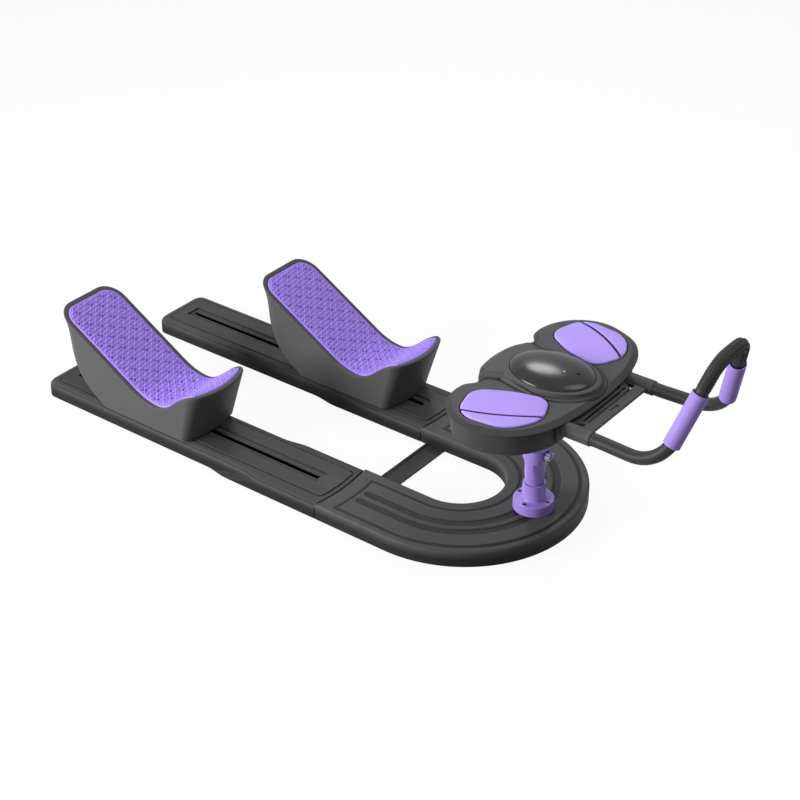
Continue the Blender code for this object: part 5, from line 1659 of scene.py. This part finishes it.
@dataclass
class Handle:
    """The bent tube, its foam grips and the ribbed sleeve on its arch."""

    spread: float = 0.199
    sleeve_radius: float = 0.0133
    sleeve_gap: float = 0.0003
    tray_front: float = 0.1095
    tube_lead: float = 0.015
    lead_radius: float = 0.150
    bend_radius: float = 0.071
    arch_bend: float = 0.036
    low_reach: float = 0.2012
    low_toe: float = 0.0077
    low_rise: float = 0.0398
    high_reach: float = 0.2279
    high_toe: float = 0.0393
    high_rise: float = 0.1308
    sleeve_length: float = 0.0605
    insert: float = 0.045
    arch_reach: float = 0.060
    tube_radius: float = 0.0115
    grip_radius: float = 0.0150
    grip_mouth: float = 0.0132
    mouth_depth: float = 0.007
    mouth_share: float = 0.8
    mouth_start: float = 0.4
    grip_slack: float = 0.0001
    grip_rows: int = 40
    lip: float = 0.0016
    lip_roll: float = 1.2
    lip_steps: int = 7
    core_radius: float = 0.0116
    neck_step: float = 0.0022
    neck_length: float = 0.0105
    rib_radius: float = 0.0008
    rib_pitch: float = 0.0042
    rib_rows: int = 8
    rib_gap: float = 0.34
    rib_segments: int = 9
    rib_sides: int = 8
    rib_margin: int = 10
    arch_tuck: float = 0.7
    arch_start: float = 0.004
    arch_steps: int = 24
    arch_points: int = 120
    sides: int = 40

    def __post_init__(self) -> None:
        """Reads the column's and the bracket's places from the frame."""
        self.center_x = column_x()
        self.axis_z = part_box("handle_bracket")[1].z - self.sleeve_radius
        self.sleeve_end = self.tray_front + self.sleeve_gap + self.sleeve_length

    def grip_ends(self, side: Side) -> tuple[Vector, Vector]:
        """Gives the lower and upper end of one grip's centre line.

        Args:
            side: The grip's side.

        Returns:
            The lower and the upper end.
        """
        half = self.spread / 2
        low = Vector((self.tray_front + self.low_reach, side.value * (half - self.low_toe),
                      self.axis_z + self.low_rise))
        high = Vector((self.tray_front + self.high_reach, side.value * (half - self.high_toe),
                       self.axis_z + self.high_rise))
        shift = Vector((self.center_x, 0, 0))
        return low + shift, high + shift

    def path(self, steps: int = 20) -> np.ndarray:
        """Gives the tube's centre line, from the right sleeve over the arch to the left one.

        Args:
            steps: The points of a quarter turn.

        Returns:
            The points.
        """
        halves = []
        for side in Side:
            low, high = self.grip_ends(side)
            lean = (high - low).normalized()
            elbow = low + lean * ((self.axis_z - low.z) / lean.z)
            crest = high + lean * self.arch_reach
            y = side.value * self.spread / 2
            start = Vector((self.center_x + self.sleeve_end - self.insert, y, self.axis_z))
            lead = Vector((self.center_x + self.sleeve_end + self.tube_lead, y, self.axis_z))
            halves.append([start, lead, elbow, crest])
        corners = halves[0] + halves[1][::-1]
        radii = [self.lead_radius, self.bend_radius, self.arch_bend]
        points = [tuple(corners[0])]
        for before, corner, after, radius in zip(corners, corners[1:], corners[2:], radii + radii[::-1]):
            sweep = math.pi - (before - corner).angle(after - corner)
            count = max(4, round(steps * sweep / QUARTER_TURN))
            points += rounded_corner(before, corner, after, radius, count)
        return np.array(points + [tuple(corners[-1])])

    def bar(self) -> bpy.types.Object:
        """Builds the bent tube.

        Returns:
            The tube.
        """
        points, faces = tube(self.path(), self.tube_radius, self.sides)
        piece = finished("bent_tube", points, faces, "black_steel")
        return place_piece(piece, "panel", "black_steel", "handlebar")

    def grip(self, side: Side) -> bpy.types.Object:
        """Builds one foam grip with soft lips and an open mouth at each end.

        Args:
            side: The grip's side.

        Returns:
            The grip.
        """
        low, high = self.grip_ends(side)
        length = (high - low).length
        lip, outer, mouth = self.lip, self.grip_radius, self.grip_mouth
        profile = [(self.tube_radius + self.grip_slack, self.mouth_depth),
                   (mouth, self.mouth_depth * self.mouth_share), (mouth, lip * self.mouth_start)]
        for a in np.linspace(-QUARTER_TURN, QUARTER_TURN, self.lip_steps):
            roll = 1 if a > 0 else self.lip_roll
            profile.append((outer - lip / 2 + lip / 2 * math.sin(a) * roll, lip / 2 - lip / 2 * math.cos(a)))
        far_end = [(radius, length - z) for radius, z in reversed(profile)]
        profile += [(outer, z) for z in np.linspace(lip, length - lip, self.grip_rows)] + far_end
        axis = (high - low).normalized()
        turn = Vector((0, 0, 1)).rotation_difference(axis).to_matrix().to_4x4()
        place = Matrix.Translation(low) @ turn
        points = []
        for radius, z in profile:
            for k in range(self.sides):
                angle = 2 * math.pi * k / self.sides
                points.append(tuple(place @ Vector((radius * math.cos(angle), radius * math.sin(angle), z))))
        total = len(profile) * self.sides
        faces = [tuple(index % total for index in face) for face in ring_faces(len(profile) + 1, self.sides)]
        piece = finished(f"foam_grip_{side.label}", points, faces, "purple_foam", ROUND_CREASE)
        place_piece(piece, "panel", "purple_foam", f"grip_{side.label}")
        return piece

    def arch_line(self) -> np.ndarray:
        """Gives the sleeve's centre line, from inside one grip's mouth to inside the other's.

        Returns:
            The points, evenly spaced.
        """
        low, high = self.grip_ends(Side.RIGHT)
        lean = (high - low).normalized()
        start = high - lean * self.mouth_depth * self.arch_tuck
        above = [point for point in self.path(self.arch_steps) if point[2] > high.z + self.arch_start]
        mirror = np.array((1, -1, 1))
        line = np.array([tuple(start), tuple(high)] + above + [tuple(high) * mirror, tuple(start) * mirror])
        return resampled(line, self.arch_points, closed=False)

    def sleeve(self) -> bpy.types.Object:
        """Builds the sleeve's core, a little narrower where it enters the grips.

        Returns:
            The core.
        """
        line = self.arch_line()
        run = travelled(line)
        from_end = np.minimum(run, run[-1] - run)
        neck = np.clip((self.neck_length - from_end) / self.lip + 1, 0, 1)
        radii = self.core_radius - self.neck_step * neck
        points, faces = tube(line, radii, self.sides)
        piece = finished("arch_sleeve", points, faces, "black_rubber")
        return place_piece(piece, "panel", "black_rubber", "arch_cover")

    def rib_tree(self) -> bpy.types.NodeTree:
        """Makes the tree that sets rows of short ribs round a curve.

        Returns:
            The tree.
        """
        group = bpy.data.node_groups.new("arch_ribs", "GeometryNodeTree")
        face = group.interface
        face.new_socket("Curve", in_out="INPUT", socket_type="NodeSocketGeometry")
        for name in ("Pitch", "Core Radius", "Rib Radius", "Sweep"):
            face.new_socket(name, in_out="INPUT", socket_type="NodeSocketFloat")
        face.new_socket("Finish", in_out="INPUT", socket_type="NodeSocketMaterial")
        face.new_socket("Geometry", in_out="OUTPUT", socket_type="NodeSocketGeometry")
        tree = Tree(group)
        start = tree.add("NodeGroupInput").socket.node.outputs
        given = {socket.name: Value(tree, socket) for socket in start if socket.name}
        spaced = tree.add("GeometryNodeResampleCurve", {"mode": "LENGTH"},
                          {"Curve": given["Curve"], "Length": given["Pitch"]})
        arc = tree.add("GeometryNodeCurveArc", {"mode": "RADIUS"},
                       {"Resolution": self.rib_segments, "Radius": given["Core Radius"],
                        "Start Angle": given["Sweep"] * -0.5, "Sweep Angle": given["Sweep"]})
        section = tree.add("GeometryNodeCurvePrimitiveCircle", {"mode": "RADIUS"},
                           {"Resolution": self.rib_sides, "Radius": given["Rib Radius"]})
        rib = tree.add("GeometryNodeCurveToMesh",
                       inputs={"Curve": arc, "Profile Curve": section, "Fill Caps": True})
        row = [tree.add("GeometryNodeTransform",
                        inputs={"Geometry": rib, "Rotation": (0, 0, 2 * math.pi * k / self.rib_rows)})
               for k in range(self.rib_rows)]
        ring = tree.add("GeometryNodeJoinGeometry", inputs={"Geometry": row})
        turn = tree.add("FunctionNodeAxesToRotation", {"primary_axis": "Z", "secondary_axis": "X"},
                        {0: tree.add("GeometryNodeInputTangent"), 1: tree.add("GeometryNodeInputNormal")})
        copies = tree.add("GeometryNodeInstanceOnPoints",
                          inputs={"Points": spaced, "Instance": ring, "Rotation": turn})
        real = tree.add("GeometryNodeRealizeInstances", inputs={"Geometry": copies})
        smooth = tree.add("GeometryNodeSetShadeSmooth", inputs={"Geometry": real, "Shade Smooth": True})
        finish = {"Geometry": smooth, "Material": given["Finish"]}
        dressed = tree.add("GeometryNodeSetMaterial", inputs=finish)
        tree.link(dressed, group.nodes.new("NodeGroupOutput").inputs[0])
        return group

    def ribs(self) -> bpy.types.Object:
        """Builds the short ribs that stand on the sleeve.

        Returns:
            The ribs.
        """
        curve = bpy.data.curves.new("arch_line", "CURVE")
        curve.dimensions = "3D"
        spline = curve.splines.new("POLY")
        line = self.arch_line()[self.rib_margin:-self.rib_margin]
        spline.points.add(len(line) - 1)
        for target, point in zip(spline.points, line):
            target.co = (*point, 1.0)
        source = bpy.data.objects.new("arch_line", curve)
        bpy.context.scene.collection.objects.link(source)
        modifier = source.modifiers.new("ribs", "NODES")
        group = self.rib_tree()
        modifier.node_group = group
        values = {"Pitch": self.rib_pitch, "Core Radius": self.core_radius, "Rib Radius": self.rib_radius,
                  "Sweep": 2 * math.pi / self.rib_rows - self.rib_gap, "Finish": MATERIALS["black_rubber"]}
        for item in group.interface.items_tree:
            if item.in_out == "INPUT" and item.name in values:
                modifier[item.identifier] = values[item.name]
        piece = applied(source, "arch_ribs")
        return place_piece(piece, "panel", "black_rubber")

    def build(self) -> None:
        """Builds the tube, the grips and the sleeve."""
        self.bar()
        for side in Side:
            self.grip(side)
        self.sleeve()
        self.ribs()


@dataclass
class CarriedNodes:
    """The CAD nodes that show as they are, with their finishes."""

    # The rails, the tray and the decks take darker copies of the black plastic as painted shade.
    own_finishes: tuple[tuple[str, str], ...] = (
        ("rail_deck", "deck_plastic"), ("rail_shell", "rail_plastic"), ("panel_tray", "rail_plastic"),
        # The roller tracks take a flat black as painted shade down in the slots.
        ("roller_track", "dark_track"))

    def build(self) -> None:
        """Gives each shown node its material and its shading."""
        shading = EvenShading()
        slots = {part["node"]: part["material_slot"] for part in frame["record"]["subparts"]}
        for name, node in frame["nodes"].items():
            if node.hide_render:
                continue
            own = [finish for start, finish in self.own_finishes if name.startswith(start)]
            finish = own[0] if own else slots[name]
            node.data.materials.clear()
            node.data.materials.append(MATERIALS[finish])
            shading.dress(node)
            LOG.info("%s keeps its shape with finish %s", name, finish)


@dataclass(frozen=True)
class Lamp:
    """One soft studio lamp, placed by its direction from the object."""

    name: str
    azimuth: float
    elevation: float
    strength: float
    size: float
    distance: float = 3.0

    def build(self, target: Vector) -> None:
        """Adds the lamp, turned to a target.

        Args:
            target: The point that it lights.
        """
        azimuth, elevation = math.radians(self.azimuth), math.radians(self.elevation)
        level = math.cos(elevation)
        direction = Vector((level * math.cos(azimuth), level * math.sin(azimuth), math.sin(elevation)))
        light = bpy.data.lights.new(self.name, "AREA")
        light.shape = "DISK"
        light.size = self.size
        light.energy = self.strength * math.pi ** 2 * self.distance ** 2
        lamp = bpy.data.objects.new(self.name, light)
        lamp.location = target + direction * self.distance
        lamp.rotation_euler = (-direction).to_track_quat("-Z", "Y").to_euler()
        bpy.context.scene.collection.objects.link(lamp)


@dataclass
class Studio:
    """The camera, the pale floor, the lamps and the surroundings."""

    lens: float = 83.18
    sensor: float = 36.0
    eye: tuple[float, float, float] = (1.76886, -2.30566, 1.95029)
    target: tuple[float, float, float] = (-0.1270, 0.1864, 0.0)
    roll: float = 0.035
    floor_half: float = 12.0
    ambient: float = 0.24
    floor_white: float = 0.92
    floor_tone: float = 0.90
    floor_bounce: float = 0.22
    room_lamps: tuple[Lamp, ...] = (
        Lamp("key", azimuth=-122, elevation=13, strength=1.70, size=1.6),
        Lamp("fill", azimuth=20, elevation=60, strength=0.48, size=2.0))
    dome_lamp: Lamp = Lamp("back", azimuth=130, elevation=41, strength=0.24, size=0.82)

    def __post_init__(self) -> None:
        """Finds where the rails meet the base, which the camera's place is counted from."""
        self.joint = Vector((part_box("rail_shell_right")[0].x + RAIL_LENGTH, 0, 0))

    def camera(self) -> None:
        """Adds the camera at the photograph's place."""
        data = bpy.data.cameras.new("camera")
        data.lens = self.lens
        data.sensor_width = self.sensor
        data.dof.use_dof = False
        camera = bpy.data.objects.new("camera", data)
        eye = Vector(self.eye) + self.joint
        look = (Vector(self.target) + self.joint - eye).to_track_quat("-Z", "Y").to_matrix().to_4x4()
        camera.matrix_world = (Matrix.Translation(eye) @ look
                               @ Matrix.Rotation(math.radians(self.roll), 4, "Z"))
        bpy.context.scene.collection.objects.link(camera)
        bpy.context.scene.camera = camera

    @staticmethod
    def seen(tree: Tree) -> Value:
        """Gives 1 for rays that show the surroundings: from the camera, a gloss or a clear piece.

        Args:
            tree: The tree that the nodes are put in.

        Returns:
            The share.
        """
        path = tree.add("ShaderNodeLightPath").socket.node.outputs
        rays = [Value(tree, path[name]) for name in ("Is Camera Ray", "Is Glossy Ray", "Is Transmission Ray")]
        return rays[0].maximum(rays[1]).maximum(rays[2])

    def world(self) -> None:
        """Sets a white surround that lights the object at a plain level."""
        world = bpy.data.worlds.new("studio")
        world.use_nodes = True
        bpy.context.scene.world = world
        tree = Tree(world.node_tree)
        background = world.node_tree.nodes["Background"]
        background.inputs["Color"].default_value = (1, 1, 1, 1)
        seen = self.seen(tree)
        tree.link(seen + (1 - seen) * self.ambient, background.inputs["Strength"])

    def floor(self) -> None:
        """Adds the pale floor, which keeps the object's shadow."""
        half = self.floor_half
        corners = [(-half, -half, 0), (half, -half, 0), (half, half, 0), (-half, half, 0)]
        mesh = bpy.data.meshes.new("floor")
        mesh.from_pydata(corners, [], [(0, 1, 2, 3)])
        floor = bpy.data.objects.new("floor", mesh)
        bpy.context.scene.collection.objects.link(floor)
        shader = Shader("pale_floor")
        glow = shader.add("ShaderNodeEmission", inputs={"Color": (1, 1, 1, 1), "Strength": 1.0})
        seen = self.seen(shader)
        tone = shader.mix(seen, rgba((self.floor_bounce,) * 3), rgba((self.floor_tone,) * 3))
        matt = shader.add("ShaderNodeBsdfDiffuse", inputs={"Color": tone})
        both = shader.add("ShaderNodeMixShader", inputs={0: seen * self.floor_white, 1: matt, 2: glow})
        output = shader.tree.nodes["Material Output"]
        shader.link(both, output.inputs["Surface"])
        mesh.materials.append(shader.material)

    def build(self) -> None:
        """Builds the studio."""
        bpy.context.scene.view_settings.view_transform = "Standard"
        self.camera()
        self.world()
        self.floor()
        for lamp in self.room_lamps:
            lamp.build((CAD_BOX[0] + CAD_BOX[1]) / 2)
        self.dome_lamp.build(sum(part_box("counter_dome"), Vector()) / 2)


def main() -> None:
    """Builds every sub-assembly in order."""
    Studio().build()
    BaseShell().build()
    for side in Side:
        KneeCradle(side).build()
    PanelCover().build()
    ElbowPads().build()
    CounterDome().build()
    FrontChannel().build()
    Handle().build()
    CarriedNodes().build()


if __name__ == "__main__":
    logging.basicConfig(level=logging.INFO, format="%(message)s")
    main()
